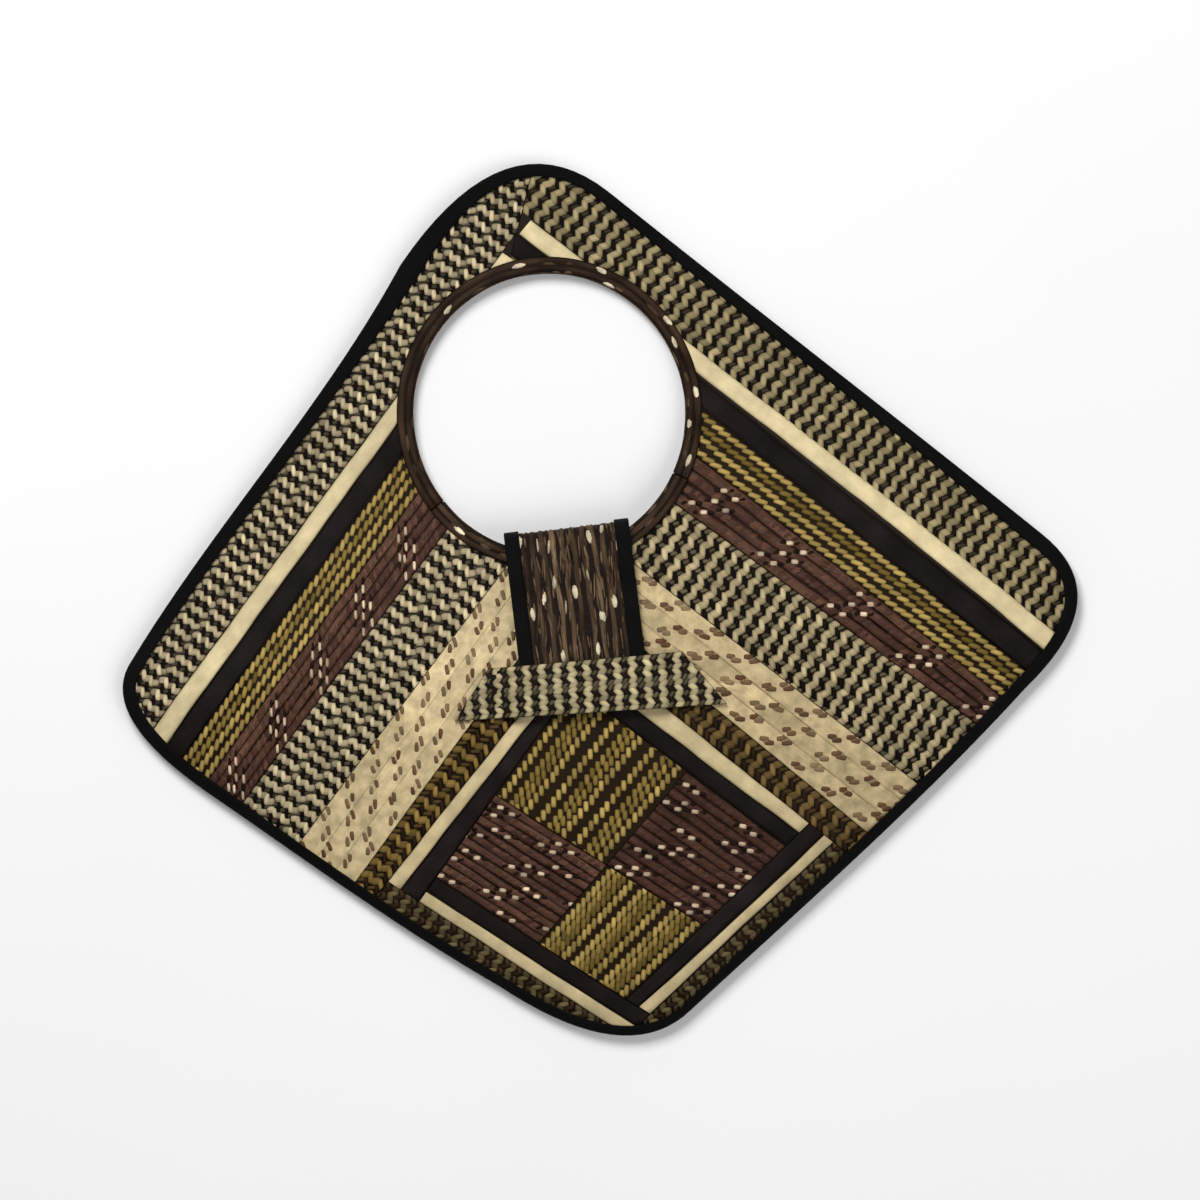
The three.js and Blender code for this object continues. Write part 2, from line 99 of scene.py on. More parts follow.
# Seams along the lower edges: how far they lie from the line between the corners, at the side and the bottom
LOWER_SEAMS = dict(
    cream_outer=dict(left=(10.8, 13.2), right=(7.9, 11.9)),
    cream_inner=dict(left=(16.2, 19.5), right=(12.9, 18.2)),
    dark_inner=dict(left=(23.4, 27.7), right=(24.5, 24.5)),
)
PATCH = dict(x=-9.4, y=-119.9, falling=-39.4, rising=42.3)
MITRE = ((-6.0, 193.0), (-15.0, 170.0))
MIDDLE_X = -10.0
EDGE_OVERRUN = 12.0

# Closing tab and the way of its middle, from its root inside the back to its tip under the keeper
TAB = dict(x=-9.0, width=57.0, wall=1.6, tape=0.8, tape_width=6.6, clear=0.2)
TAB_HALF = TAB["wall"] / 2 + TAB["clear"] + TAB["tape"]
TAB_WAY = (
    (-28.0, "back", 0.0), (8.0, "back", 0.0), (20.0, "back", 1.3), (30.7, "lip", -6.0), (33.0, "lip", 0.0),
    (30.7, "lip", 5.2), (22.0, "front", 1.3), (13.0, "front", 1.3), (4.0, "front", 0.0), (-8.0, "front", 0.0),
    (-20.0, "front", 0.0), (-32.0, "front", 0.0), (-44.0, "front", 0.0),
)
KEEPER = dict(
    low_left=(-69.6, -47.0), low_right=(53.4, -54.2), top_right=(36.4, -28.3), top_left=(-51.5, -25.3),
)
KEEPER_SLOPE = 10.0
KEEPER_FLAT = TAB["width"] / 2 + 2.5
OVER_TAB = 2 * (TAB_HALF + GAP + TAB["clear"])

# Splint colours, as seen in even light
COLOURS = dict(
    cream=(224, 206, 161), cream_frame=(208, 189, 145), dark=(29, 24, 22), dark_ground=(30, 22, 15),
    zigzag_light=(208, 190, 152), zigzag_mid=(190, 172, 132), zigzag_warm=(166, 150, 111),
    zigzag_dark=(20, 14, 9), zigzag_brown=(22, 15, 10),
    keeper_light=(190, 175, 136), keeper_dark=(30, 24, 16),
    gold=(172, 147, 84), gold_mid=(143, 120, 62), gold_dim=(114, 94, 45), gold_dark=(36, 26, 13),
    maroon=(62, 40, 32), maroon_light=(98, 69, 55), maroon_mid=(80, 55, 43), maroon_dark=(33, 19, 14),
    dot=(204, 181, 153), speckled=(210, 189, 145), speckled_right=(199, 178, 135),
    # The speckled ground colour on the next line, a darker cream, is painted shade in the seams and gaps
    # between the speckled blocks
    speckled_gap_shade=(186, 164, 122), speck=(94, 64, 41),
    tan_light=(139, 113, 59), tan_mid=(119, 96, 55), tan_grey=(104, 90, 60), tan_dark=(46, 32, 18),
    brown=(58, 43, 31), brown_light=(96, 77, 58), brown_dark=(38, 26, 18), brown_ground=(28, 19, 13),
    fleck=(212, 198, 168),
    # The last colour on the next line, a darker cream, is painted shade in the gaps between the back panel's
    # floats
    back_light=(204, 186, 140), back_dark=(180, 158, 112), back_gap_shade=(120, 98, 62),
    tape=(8, 8, 9), thread=(14, 14, 15),
)


def linear(rgb):
    """A colour given as screen values from 0 to 255, as light."""
    value = np.asarray(rgb, float) / 255
    return np.where(value > 0.04045, ((value + 0.055) / 1.055) ** 2.4, value / 12.92)


TONES = {name: linear(rgb) for name, rgb in COLOURS.items()}


# Plan and surface

def unit(vector):
    return vector / np.linalg.norm(vector, axis=-1, keepdims=True)


def turned_left(vector):
    return np.stack([-vector[..., 1], vector[..., 0]], axis=-1)


def smooth(value):
    value = np.clip(value, 0, 1)
    return value * value * (3 - 2 * value)


def raised(plan, level):
    """Plan points with their levels."""
    return np.concatenate([plan, level[..., None]], axis=-1)


def arc_lengths(points):
    """The distance along a line of points to each of them."""
    return np.concatenate([[0], np.cumsum(np.linalg.norm(np.diff(points, axis=0), axis=1))])


def at_run(run, runs, values):
    """The values along a line, at distances along it."""
    return np.stack([np.interp(run, runs, column) for column in values.T], axis=-1)


def bezier(controls, t):
    """Points on a Bezier curve, and the way it runs there."""
    level = [np.outer(np.ones_like(t), control) for control in controls]
    while len(level) > 2:
        level = [a + (b - a) * t[:, None] for a, b in zip(level, level[1:])]
    return level[0] + (level[1] - level[0]) * t[:, None], unit(level[1] - level[0])


corner_at = {name: np.array([c["x"], c["y"]]) for name, c in CORNERS.items()}


def trace_outline():
    """The bag's outline, counter-clockwise: points, directions and the width of the tape."""
    names = list(CORNERS)
    points, along, tape = [], [], []
    for i, name in enumerate(names):
        here = CORNERS[name]
        after = names[(i + 1) % 4]
        at = corner_at[name]
        came = unit(at - corner_at[names[i - 1]])
        goes = unit(corner_at[after] - at)
        outward = -turned_left(goes)
        round_start = at - came * here["cut_in"]
        edge_start = at + goes * here["cut_out"]
        edge_end = corner_at[after] - goes * CORNERS[after]["cut_in"]
        near = edge_start + (edge_end - edge_start) / 3 + outward * here["bow_near"]
        far = edge_start + (edge_end - edge_start) * 2 / 3 + outward * here["bow_far"]
        width = TAPE_WIDTHS[name]
        for controls, steps in (((round_start, at, edge_start), CORNER_STEPS),
                                ((edge_start, near, far, edge_end), EDGE_STEPS)):
            t = np.arange(steps) / steps
            at_t, along_t = bezier(controls, t)
            points.append(at_t)
            along.append(along_t)
            if len(controls) > 3:
                early = width["next"] + (width["end"] - width["next"]) * (1 - 3 * t) ** 2
                late = np.interp(t, [1 / 3, 1], [width["next"], TAPE_WIDTHS[after]["corner"]])
                tape.append(np.where(t < 1 / 3, early, late))
            else:
                tape.append(width["corner"] + (width["end"] - width["corner"]) * t ** 3)
    return np.concatenate(points), np.concatenate(along), np.concatenate(tape)


OUTLINE, OUTLINE_ALONG, OUTLINE_TAPE = trace_outline()
SWELL_AT = np.array([SWELL["x"], SWELL["y"]])
RAYS = OUTLINE - SWELL_AT
RAY_ANGLES = np.arctan2(RAYS[:, 1], RAYS[:, 0])
RAY_LENGTHS = np.linalg.norm(RAYS, axis=1)


def edge_reach(plan):
    """How far the outline lies from the middle of the swelling, in the direction of each point."""
    ray = plan - SWELL_AT
    return np.interp(np.arctan2(ray[..., 1], ray[..., 0]), RAY_ANGLES, RAY_LENGTHS, period=2 * math.pi)


def front_z(plan):
    """Top of the front panel."""
    gauge = np.linalg.norm(plan - SWELL_AT, axis=-1) / edge_reach(plan)
    fade = smooth((SWELL["fade_top"] - plan[..., 1]) / SWELL["fade_length"])
    return FRONT_TOP + SWELL["height"] * (1 - gauge ** SWELL["power"]) * fade


def keeper_z(plan):
    """Top of the keeper band, which lies on the panel at its ends and arches over the tab."""
    past = np.abs(plan[..., 0] - TAB["x"]) - KEEPER_FLAT
    return front_z(plan) + GAP + (OVER_TAB - GAP) * (1 - smooth(past / KEEPER_SLOPE)) + WALL


def back_z(plan):
    """Underside of the back panel."""
    return np.full(plan.shape[:-1], BACK_UNDER)


# Seams, straight lines in plan held as two points

def inset_seam(a, b, at_a, at_b):
    left = turned_left(unit(b - a))
    return a + left * at_a, b + left * at_b


def seam_at(x, y, degrees):
    angle = math.radians(degrees)
    start = np.array([x, y])
    return start, start + np.array([math.cos(angle), math.sin(angle)])


def cross(a, b):
    return a[..., 0] * b[..., 1] - a[..., 1] * b[..., 0]


def crossing(seam, other):
    along = seam[1] - seam[0]
    other_along = other[1] - other[0]
    return seam[0] + along * cross(other[0] - seam[0], other_along) / cross(along, other_along)


def side_seams(side):
    sign = -1 if side == "left" else 1
    outer, top, bottom = corner_at[side], corner_at["top"], corner_at["bottom"]
    seams = dict(edge=inset_seam(outer, top, -sign * EDGE_OVERRUN, -sign * EDGE_OVERRUN))
    seams.update(middle=MIDDLE, mitre=MITRE_LINE)
    for name, insets in STRIPS.items():
        low, high = insets[side]
        seams[name] = inset_seam(outer, top, sign * low, sign * high)
    seams["lower_edge"] = inset_seam(outer, bottom, sign * EDGE_OVERRUN, sign * EDGE_OVERRUN)
    for name, insets in LOWER_SEAMS.items():
        near, low = insets[side]
        seams[name] = inset_seam(outer, bottom, -sign * near, -sign * low)
    run = seams["zigzag_outer"][1] - seams["zigzag_outer"][0]
    across = math.degrees(math.atan2(run[1], run[0])) + 90
    seams["across_hole"] = seam_at(HOLE["x"], HOLE["y"], across)
    return seams


MIDDLE = seam_at(MIDDLE_X, 0, 90)
MITRE_LINE = (np.array(MITRE[0]), np.array(MITRE[1]))
SEAMS = dict(left=side_seams("left"), right=side_seams("right"))
FALLING = seam_at(PATCH["x"], PATCH["y"], PATCH["falling"])
RISING = seam_at(PATCH["x"], PATCH["y"], PATCH["rising"])


# Meshes under construction

class Soup:
    """Points, faces and the two values that the finishes read: a tone and a place in the grain."""

    def __init__(self, points, loops, sizes, tones, grains, smooth_faces=True):
        self.points = np.asarray(points, float).reshape(-1, 3)
        self.loops = np.asarray(loops, int)
        self.sizes = np.asarray(sizes, int)
        self.tones = np.asarray(tones, float).reshape(-1, 3)
        self.grains = np.asarray(grains, float).reshape(-1, 3)
        self.smooth = np.full(len(self.sizes), smooth_faces)


def flipped(loops, sizes):
    """The same faces with their corners in the other order."""
    starts = np.repeat(np.cumsum(sizes) - sizes, sizes)
    return loops[starts + np.repeat(sizes, sizes) - 1 - (np.arange(len(loops)) - starts)]


def volumes(points, loops, sizes):
    """Signed volume under each triangle of the faces, cut as fans."""
    fans = sizes - 2
    first = np.repeat(np.cumsum(sizes) - sizes, fans)
    step = np.arange(len(first)) - np.repeat(np.cumsum(fans) - fans, fans) + 1
    a, b, c = points[loops[first]], points[loops[first + step]], points[loops[first + step + 1]]
    return np.einsum("ij,ij->i", a, np.cross(b, c))


def merged(soups):
    """Several soups as one."""
    starts = np.cumsum([0] + [len(s.points) for s in soups])
    whole = Soup(
        np.concatenate([s.points for s in soups]),
        np.concatenate([s.loops + start for s, start in zip(soups, starts)]),
        np.concatenate([s.sizes for s in soups]),
        np.concatenate([s.tones for s in soups]),
        np.concatenate([s.grains for s in soups]),
    )
    whole.smooth = np.concatenate([s.smooth for s in soups])
    return whole


class Shape:
    """A float's grid: where its points lie along and across it, their rise to the crown, and its taper."""

    def __init__(self, along, rise_along, across, rise_across, taper):
        self.u = np.repeat(along, len(across))
        self.w = 0.5 + np.outer(taper, np.array(across) - 0.5).ravel()
        self.rise = np.outer(rise_along, rise_across).ravel()
        self.rows = len(along)
        self.columns = len(across)


NARROW = ((0.0, 0.17, 0.5, 0.83, 1.0), (0.0, 0.72, 1.0, 0.72, 0.0))
SPLINT = Shape((0.0, 0.10, 0.34, 0.66, 0.90, 1.0), (0.0, 0.72, 1.0, 1.0, 0.72, 0.0), *NARROW,
               (0.6, 0.9, 1.0, 1.0, 0.9, 0.6))
LOZENGE = Shape((0.0, 0.12, 0.36, 0.64, 0.88, 1.0), (0.0, 0.6, 1.0, 1.0, 0.6, 0.0), *NARROW,
                (0.15, 0.6, 1.0, 1.0, 0.6, 0.15))
COARSE = Shape((0.0, 0.14, 0.5, 0.86, 1.0), (0.0, 0.75, 1.0, 0.75, 0.0),
               (0.0, 0.25, 0.75, 1.0), (0.0, 1.0, 1.0, 0.0), (0.7, 0.95, 1.0, 0.95, 0.7))
BLOCK = Shape((0.0, 0.015, 0.05, 0.2, 0.35, 0.5, 0.65, 0.8, 0.95, 0.985, 1.0),
              (0.0, 0.86, 1.0, 1.0, 1.0, 1.0, 1.0, 1.0, 1.0, 0.86, 0.0),
              (0.0, 0.02, 0.08, 0.3, 0.5, 0.7, 0.92, 0.98, 1.0),
              (0.0, 0.86, 1.0, 1.0, 1.0, 1.0, 1.0, 0.86, 0.0), np.ones(11))
FLAT_ACROSS = ((0.0, 0.05, 0.18, 0.5, 0.82, 0.95, 1.0), (0.0, 0.72, 0.95, 1.0, 0.95, 0.72, 0.0))
ROUND_ACROSS = ((0.0, 0.16, 0.5, 0.84, 1.0), (0.0, 0.68, 1.0, 0.68, 0.0))
PEAKED_ACROSS = ((0.0, 0.24, 0.5, 0.76, 1.0), (0.0, 0.5, 1.0, 0.5, 0.0))
SINK = -0.9          # level of a float's rim, inside the ground
GROUND = -0.65       # level of the ground below the strip's face
PAINTED_RIM_SHADE = 0.35       # how light a float's tone still is at its rim: painted shade that darkens it towards its edges


def long_shape(length, across, step):
    """The grid of a splint that stays on top for a long way."""
    rim = min(0.4, 0.5 / length)
    along = np.r_[0, np.linspace(rim, 1 - rim, max(3, round(length / step))), 1]
    rise = np.r_[0, np.ones(len(along) - 2), 0]
    return Shape(along, rise, *across, np.ones(len(along)))


class Floats:
    """Many floats of one shape, as an array of points in a plane and heights above it."""

    def __init__(self, corner, run, side, crown, tone, shape=SPLINT, shade=PAINTED_RIM_SHADE):
        count = len(corner)
        self.shape = shape
        u, w = shape.u[:, None], shape.w[:, None]
        self.places = corner[:, None] + run[:, None] * u + side[:, None] * w
        crown = np.broadcast_to(crown, count)
        self.heights = SINK + (crown[:, None] - SINK) * shape.rise
        # Painted shade: each float's tone is darkened towards its rim, down to the shade value there
        shading = shade + (1 - shade) * shape.rise
        self.tones = np.broadcast_to(tone, (count, 3))[:, None] * shading[:, None]

    def kept(self, keep):
        self.places, self.heights, self.tones = self.places[keep], self.heights[keep], self.tones[keep]
        return self

    def soup(self, points, lengths, widths):
        """These floats as closed meshes at the given points. Lengths and widths scale their grain."""
        rows, columns = self.shape.rows, self.shape.columns
        count, size = len(points), rows * columns
        index = np.arange(size).reshape(rows, columns)
        quads = np.stack([index[:-1, :-1], index[1:, :-1], index[1:, 1:], index[:-1, 1:]], axis=-1)
        quads = quads.reshape(-1, 4)
        under = np.stack([index[1:-2, 0], index[1:-2, -1], index[2:-1, -1], index[2:-1, 0]], axis=-1)
        first = np.concatenate([index[0], index[1, [-1, 0]]])
        last = np.concatenate([index[-2, [0, -1]], index[-1, ::-1]])
        template = np.concatenate([quads.ravel(), under.ravel(), first, last])
        loops = (template[None] + np.arange(count)[:, None] * size).ravel()
        sizes = np.tile(np.r_[np.full(len(quads) + len(under), 4), len(first), len(last)], count)
        centred = (points - points.mean(axis=1, keepdims=True)).reshape(-1, 3)
        inside_out = volumes(centred, loops, sizes).reshape(count, -1).sum(axis=1) < 0
        loops = np.where(np.repeat(inside_out, len(template)), flipped(loops, sizes), loops)
        shift = random.uniform(0, 500, (count, 1))
        grains = np.stack([
            self.shape.u[None] * lengths[:, None] + shift,
            self.shape.w[None] * widths[:, None] + shift,
            np.broadcast_to(shift, (count, size)),
        ], axis=-1)
        return Soup(points, loops, sizes, self.tones, grains)


def soup_to_bmesh(soup):
    bm = bmesh.new()
    tone = bm.verts.layers.float_color.new("tone")
    grain = bm.verts.layers.float_vector.new("grain")
    verts = [bm.verts.new(point) for point in soup.points]
    for vert, colour, place in zip(verts, soup.tones, soup.grains):
        vert[tone] = (*colour, 1.0)
        vert[grain] = place
    start = 0
    for size in soup.sizes:
        bm.faces.new([verts[i] for i in soup.loops[start:start + size]])
        start += size
    return bm


def bmesh_to_soup(bm):
    tone = bm.verts.layers.float_color["tone"]
    grain = bm.verts.layers.float_vector["grain"]
    bm.verts.index_update()
    points = [vert.co[:] for vert in bm.verts]
    tones = [vert[tone][:3] for vert in bm.verts]
    grains = [vert[grain][:] for vert in bm.verts]
    loops = [vert.index for face in bm.faces for vert in face.verts]
    sizes = [len(face.verts) for face in bm.faces]
    return Soup(points, loops, sizes, tones, grains)


def cut_at(soup, lines):
    """A soup cut off outside lines, each a point and the direction that points out, and closed again."""
    bm = soup_to_bmesh(soup)
    for point, outward in lines:
        geometry = bm.verts[:] + bm.edges[:] + bm.faces[:]
        bmesh.ops.bisect_plane(bm, geom=geometry, dist=1e-5, plane_co=(*point, 0), plane_no=(*outward, 0),
                               clear_outer=True)
        open_edges = [edge for edge in bm.edges if edge.is_boundary]
        bmesh.ops.holes_fill(bm, edges=open_edges, sides=0)
    bmesh.ops.recalc_face_normals(bm, faces=bm.faces[:])
    cut = bmesh_to_soup(bm)
    bm.free()
    return cut


# Strips and their lanes

CUT_SLACK = 0.05     # a float may reach this far past a seam uncut
EDGE_KEEP = 1.6      # floats stay this far inside the outline and outside the hole
HOLE_AT = np.array([HOLE["x"], HOLE["y"]])
HOLE_KEEP = np.array([HOLE["radius_x"], HOLE["radius_y"]]) + EDGE_KEEP
SIGHT_KEEP = 3.0     # a long splint goes on this far where it is out of sight
TINY = 1e-6


def toward(seam, point):
    """The direction across a seam, to the side where a point lies."""
    left = turned_left(unit(seam[1] - seam[0]))
    return left if np.dot(left, point - seam[0]) >= 0 else -left


class Strip:
    """A band between two long seams and two end seams, on a surface over the plan."""

    def __init__(self, base, end, other, other_end, level=front_z, width=None, bows=(0.0, 0.0), facing=1):
        self.level = level
        self.facing = facing
        self.bows = bows
        seams = [base, end, other, other_end]
        corners = np.array([crossing(seams[i - 1], seams[i]) for i in range(4)])
        middle = corners.mean(axis=0)
        self.lines = [(seam[0] + toward(seam, middle) * GAP / 2, -toward(seam, middle)) for seam in seams]
        self.along = unit(base[1] - base[0])
        self.across = toward(base, middle)
        self.origin = base[0]
        runs = (corners - self.origin) @ self.along
        self.start, self.end = runs.min(), runs.max()
        near, far = [((at - self.origin) @ self.along, (at - self.origin) @ self.across) for at in other]
        slope = (far[1] - near[1]) / (far[0] - near[0])
        self.width_at = (width, 0.0) if width else (near[1] - slope * near[0], slope)

    def width(self, s):
        return self.width_at[0] + self.width_at[1] * s

    def plan(self, places):
        s, v = places[..., 0], places[..., 1]
        return self.origin + s[..., None] * self.along + (v * self.width(s))[..., None] * self.across

    def lay(self, floats):
        """The floats on the surface, cut at the seams."""
        plan = self.plan(floats.places)
        size = plan.shape[1]
        columns = floats.shape.columns
        lengths = np.linalg.norm(plan[:, size - columns] - plan[:, 0], axis=1)
        widths = np.linalg.norm(plan[:, columns - 1] - plan[:, 0], axis=1)
        beyond = np.stack([(plan - point) @ outward for point, outward in self.lines])
        inside = (beyond < CUT_SLACK).all(axis=0)
        whole = inside.all(axis=1)
        partly = inside.any(axis=1) & ~whole
        soup = floats.soup(raised(plan, floats.heights), lengths, widths)
        soups = [kept_floats(soup, whole, size)]
        if partly.any():
            soups.append(cut_at(kept_floats(soup, partly, size), self.lines))
        return self.lift(merged(soups))

    def lift(self, soup):
        """Bows the seams, keeps floats off the outline and the hole, and lifts all onto the surface."""
        plan = soup.points[:, :2]
        s = (plan - self.origin) @ self.along
        v = np.clip((plan - self.origin) @ self.across / self.width(s), 0, 1)
        u = np.clip((s - self.start) / (self.end - self.start), 0, 1)
        bow = (self.bows[0] + (self.bows[1] - self.bows[0]) * v) * 4 * u * (1 - u)
        plan = kept_clear(plan + bow[:, None] * self.across)
        soup.points = raised(plan, self.level(plan) + self.facing * soup.points[:, 2])
        if self.facing < 0:
            soup.loops = flipped(soup.loops, soup.sizes)
        return soup


def kept_floats(soup, keep, size):
    """The floats of a soup that are kept, where each float has the same number of points."""
    count = len(keep)
    points, tones, grains = [a.reshape(count, size, 3)[keep] for a in (soup.points, soup.tones, soup.grains)]
    loops = soup.loops.reshape(count, -1)
    loops = (loops - np.arange(count)[:, None] * size)[keep] + np.arange(keep.sum())[:, None] * size
    sizes = soup.sizes.reshape(count, -1)[keep]
    return Soup(points, loops.ravel(), sizes.ravel(), tones, grains)


def hole_gauge(plan):
    """How far plan points lie from the middle of the hole, where 1 is just outside its edge."""
    return np.linalg.norm((plan - HOLE_AT) / HOLE_KEEP, axis=1)


def kept_clear(plan):
    """Plan points moved inside the outline and outside the hole where they reach past them."""
    ray = plan - SWELL_AT
    length = np.maximum(np.linalg.norm(ray, axis=1), TINY)
    plan = SWELL_AT + ray * np.minimum(1, (edge_reach(plan) - EDGE_KEEP) / length)[:, None]
    return HOLE_AT + (plan - HOLE_AT) * np.maximum(1, 1 / np.maximum(hole_gauge(plan), TINY))[:, None]


def shown(plan):
    """Whether each plan point lies between the outline and the hole."""
    inside = np.linalg.norm(plan - SWELL_AT, axis=1) < edge_reach(plan) - EDGE_KEEP
    return inside & (hole_gauge(plan) > 1)


def pairs(s, v):
    return np.stack(np.broadcast_arrays(s, v), axis=-1).reshape(-1, 2).astype(float)


class Lane:
    """A part of a strip's width, with its own braid."""

    def __init__(self, strip, low=0.0, high=1.0):
        self.strip = strip
        self.low = low
        self.share = high - low
        self.start, self.end = strip.start, strip.end

    def width(self, s):
        return self.strip.width(s) * self.share

    def made(self, corner, run, side, crown, tone, **how):
        """Floats whose corners and sides are given along the lane (mm) and across it (share)."""
        scale = np.array([1.0, self.share])
        return Floats(corner * scale + (0, self.low), run * scale, side * scale, crown, tone, **how)

    def floats(self, s, v, lean, length, width, crown, tone, **how):
        """Floats laid where their middles show, each leaning by an angle from the lane's length."""
        s = np.asarray(s, float)
        angle = np.radians(lean)
        local = self.width(s)
        run = pairs(length * np.cos(angle) + 0 * s, length * np.sin(angle) / local)
        side = pairs(-width * np.sin(angle) + 0 * s, width * np.cos(angle) / local)
        made = self.made(pairs(s, v) - run / 2 - side / 2, run, side, crown, tone, **how)
        if isinstance(self.strip, Strip):
            made.kept(shown(self.strip.plan(made.places).mean(axis=1)))
        return self.strip.lay(made)

    def extent(self, v):
        """Where a line along the lane comes into sight and goes out of it."""
        if not isinstance(self.strip, Strip):
            return self.start, self.end
        s = np.arange(self.start, self.end, 1.0)
        s = s[shown(self.strip.plan(pairs(s, self.low + v * self.share)))]
        return s.min() - SIGHT_KEEP, s.max() + SIGHT_KEEP


TONE_LIMITS = (0.55, 1.5)


def varied(tone, count, spread):
    """A tone for each float, lighter or darker by chance."""
    factor = (1 + spread * random.standard_normal((count, 1))).clip(*TONE_LIMITS)
    return np.broadcast_to(tone, (count, 3)) * factor


def between(start, end, share):
    """A tone on the way from one named tone to another."""
    return TONES[start] + share * (TONES[end] - TONES[start])


# Braids

COLUMN_RELIEF = 0.11     # how far the columns of a zigzag lie above and below its middle by turns
SPARE_ROWS = 4           # rows of a zigzag laid past each end of its strip, to be cut off
# How uneven a zigzag's splints are: in lean (degrees), place and height (mm), and in size (share)
UNEVEN = dict(lean=4, place=0.2, height=0.05, size=(0.92, 1.08))


def zigzag(lane, columns, pitch, light, dark, leans=(50, -45), lengths=(4.0, 5.2),
           shares=((0.72, 0.36), (0.58, 0.44)), crowns=(0.30, -0.05), spread=0.18, dim=0.76, haze=0.25,
           phase=0.0, first=0, **how):
    """Zigzag lines across the lane: columns of splints leaning to and fro, light and dark by turns.

    The splints of every second column stand out. The others are dimmer with painted shade, their dark ones
    paler.
    Leans, lengths and shares are given for the low and the high columns. A share is a light or dark splint's
    part of the repeat. With first, the first column stands out.
    """
    steps = int((lane.end - lane.start) / pitch * 2) + 2 * SPARE_ROWS
    grids = np.meshgrid(np.arange(steps) - SPARE_ROWS, np.arange(columns), indexing="ij")
    k, j = [grid.ravel() for grid in grids]
    count = len(k)
    high = (j + first) % 2
    is_dark = k % 2
    lean = np.take(leans, high) + random.normal(0, UNEVEN["lean"], count)
    length = np.take(lengths, high) * random.uniform(*UNEVEN["size"], count)
    width = pitch * np.sin(np.radians(np.abs(np.take(leans, high)))) * np.array(shares)[high, is_dark]
    width = width * random.uniform(*UNEVEN["size"], count)
    s = lane.start + phase + k * pitch / 2 + random.normal(0, UNEVEN["place"], count)
    v = (j + 0.5) / columns
    # Painted shade: the light splints of the low columns take a dimmed copy of the light tone
    tones = np.array([[TONES[light] * dim, between(dark, light, haze)], [TONES[light], TONES[dark]]])
    tone = varied(tones[high, is_dark], count, spread)
    relief = np.where(high, COLUMN_RELIEF, -COLUMN_RELIEF)
    crown = np.take(crowns, is_dark) + relief + random.normal(0, UNEVEN["height"], count)
    return [lane.floats(s, v, lean, length, width, crown, tone, **how)]


# Slow waves along a long splint: how far along it each turns by one radian (mm)
DRIFT_WAVES = (9.3, 4.1)
HEIGHT_WAVE = 5.7
TONE_WAVES = (12.7, 3.9)
HEIGHT_DRIFT = 0.08


def strands(lane, count, tones, crown=0.1, spread=0.05, gap=0.0, across=FLAT_ACROSS, sway=0.2, step=3.0,
            shade=PAINTED_RIM_SHADE):
    """Long splints side by side along the lane, each a little uneven."""
    soups = []
    for i in range(count):
        start, end = lane.extent((i + 0.5) / count)
        length = end - start
        tone = between(tones[0], tones[-1], random.uniform(0, 1))
        corner = pairs(start, (i + gap / 2) / count)
        made = lane.made(corner, pairs(length, 0.0), pairs(0.0, (1 - gap) / count), crown,
                         varied(tone, 1, spread), shape=long_shape(length, across, step), shade=shade)
        s = made.places[..., 0]
        first, second, third = random.uniform(0, 2 * math.pi, 3)
        drift = np.sin(s / DRIFT_WAVES[0] + first) * 0.6 + np.sin(s / DRIFT_WAVES[1] + second) * 0.4
        made.places[..., 1] += sway * drift / lane.strip.width(s)
        made.heights += (made.heights > SINK / 2) * HEIGHT_DRIFT * np.sin(s / HEIGHT_WAVE + third)
        wave = np.sin(s / TONE_WAVES[0] + second) + np.sin(s / TONE_WAVES[1] + third)
        made.tones *= (1 + spread * wave)[..., None]
        soups.append(lane.strip.lay(made))
    return soups


# One broad splint over a whole strip
PLAIN = dict(
    cream=dict(crown=0.5, gap=0.02),
    cream_frame=dict(crown=0.5, gap=0.02),
    dark=dict(crown=0.0, gap=0.06, spread=0.12),
)


def plain(strip, tone):
    return strands(Lane(strip), 1, (tone,), **PLAIN[tone])


# Gold braids: how their floats lean (degrees), their size and the step from one to the next (mm), and the
# ropes from the outer seam, each with its place across, tone and height
GOLD = dict(
    left=dict(lean=-22, length=5.9, width=2.45, pitch=4.05, ropes=(
        (0.12, "gold", 0.42), (0.36, "gold_mid", 0.18), (0.60, "gold", 0.36), (0.885, "gold", 0.42))),
    right=dict(lean=19, length=6.4, width=2.7, pitch=4.4, ropes=(
        (0.12, "gold", 0.42), (0.36, "gold_dim", 0.20), (0.60, "gold", 0.36), (0.885, "gold", 0.42))),
    patch_top=dict(lean=-38, length=5.4, width=2.7, pitch=3.9, ropes=(
        (0.10, "gold", 0.40), (0.44, "gold_mid", 0.24), (0.61, "gold_mid", 0.30), (0.83, "gold", 0.40))),
    patch_bottom=dict(lean=-38, length=5.4, width=2.7, pitch=3.45, ropes=(
        (0.11, "gold", 0.40), (0.39, "gold_dim", 0.16), (0.60, "gold_mid", 0.24), (0.83, "gold", 0.38))),
)
# How uneven the gold floats are: in place and height (mm), and in their share across and of tone
GOLD_UNEVEN = dict(place=0.15, across=0.008, height=0.06, tone=0.2)


def gold(lane, lean, length, width, pitch, ropes):
    """Ropes of slanted gold floats, with the dark ground between them."""
    soups = []
    for across, tone, crown in ropes:
        s = np.arange(lane.start - length, lane.end + length, pitch) + random.uniform(0, pitch)
        count = len(s)
        s = s + random.normal(0, GOLD_UNEVEN["place"], count)
        v = across + random.normal(0, GOLD_UNEVEN["across"], count)
        crowns = crown + random.normal(0, GOLD_UNEVEN["height"], count)
        tones = varied(TONES[tone], count, GOLD_UNEVEN["tone"])
        soups.append(lane.floats(s, v, lean, length, width, crowns, tones))
    return soups


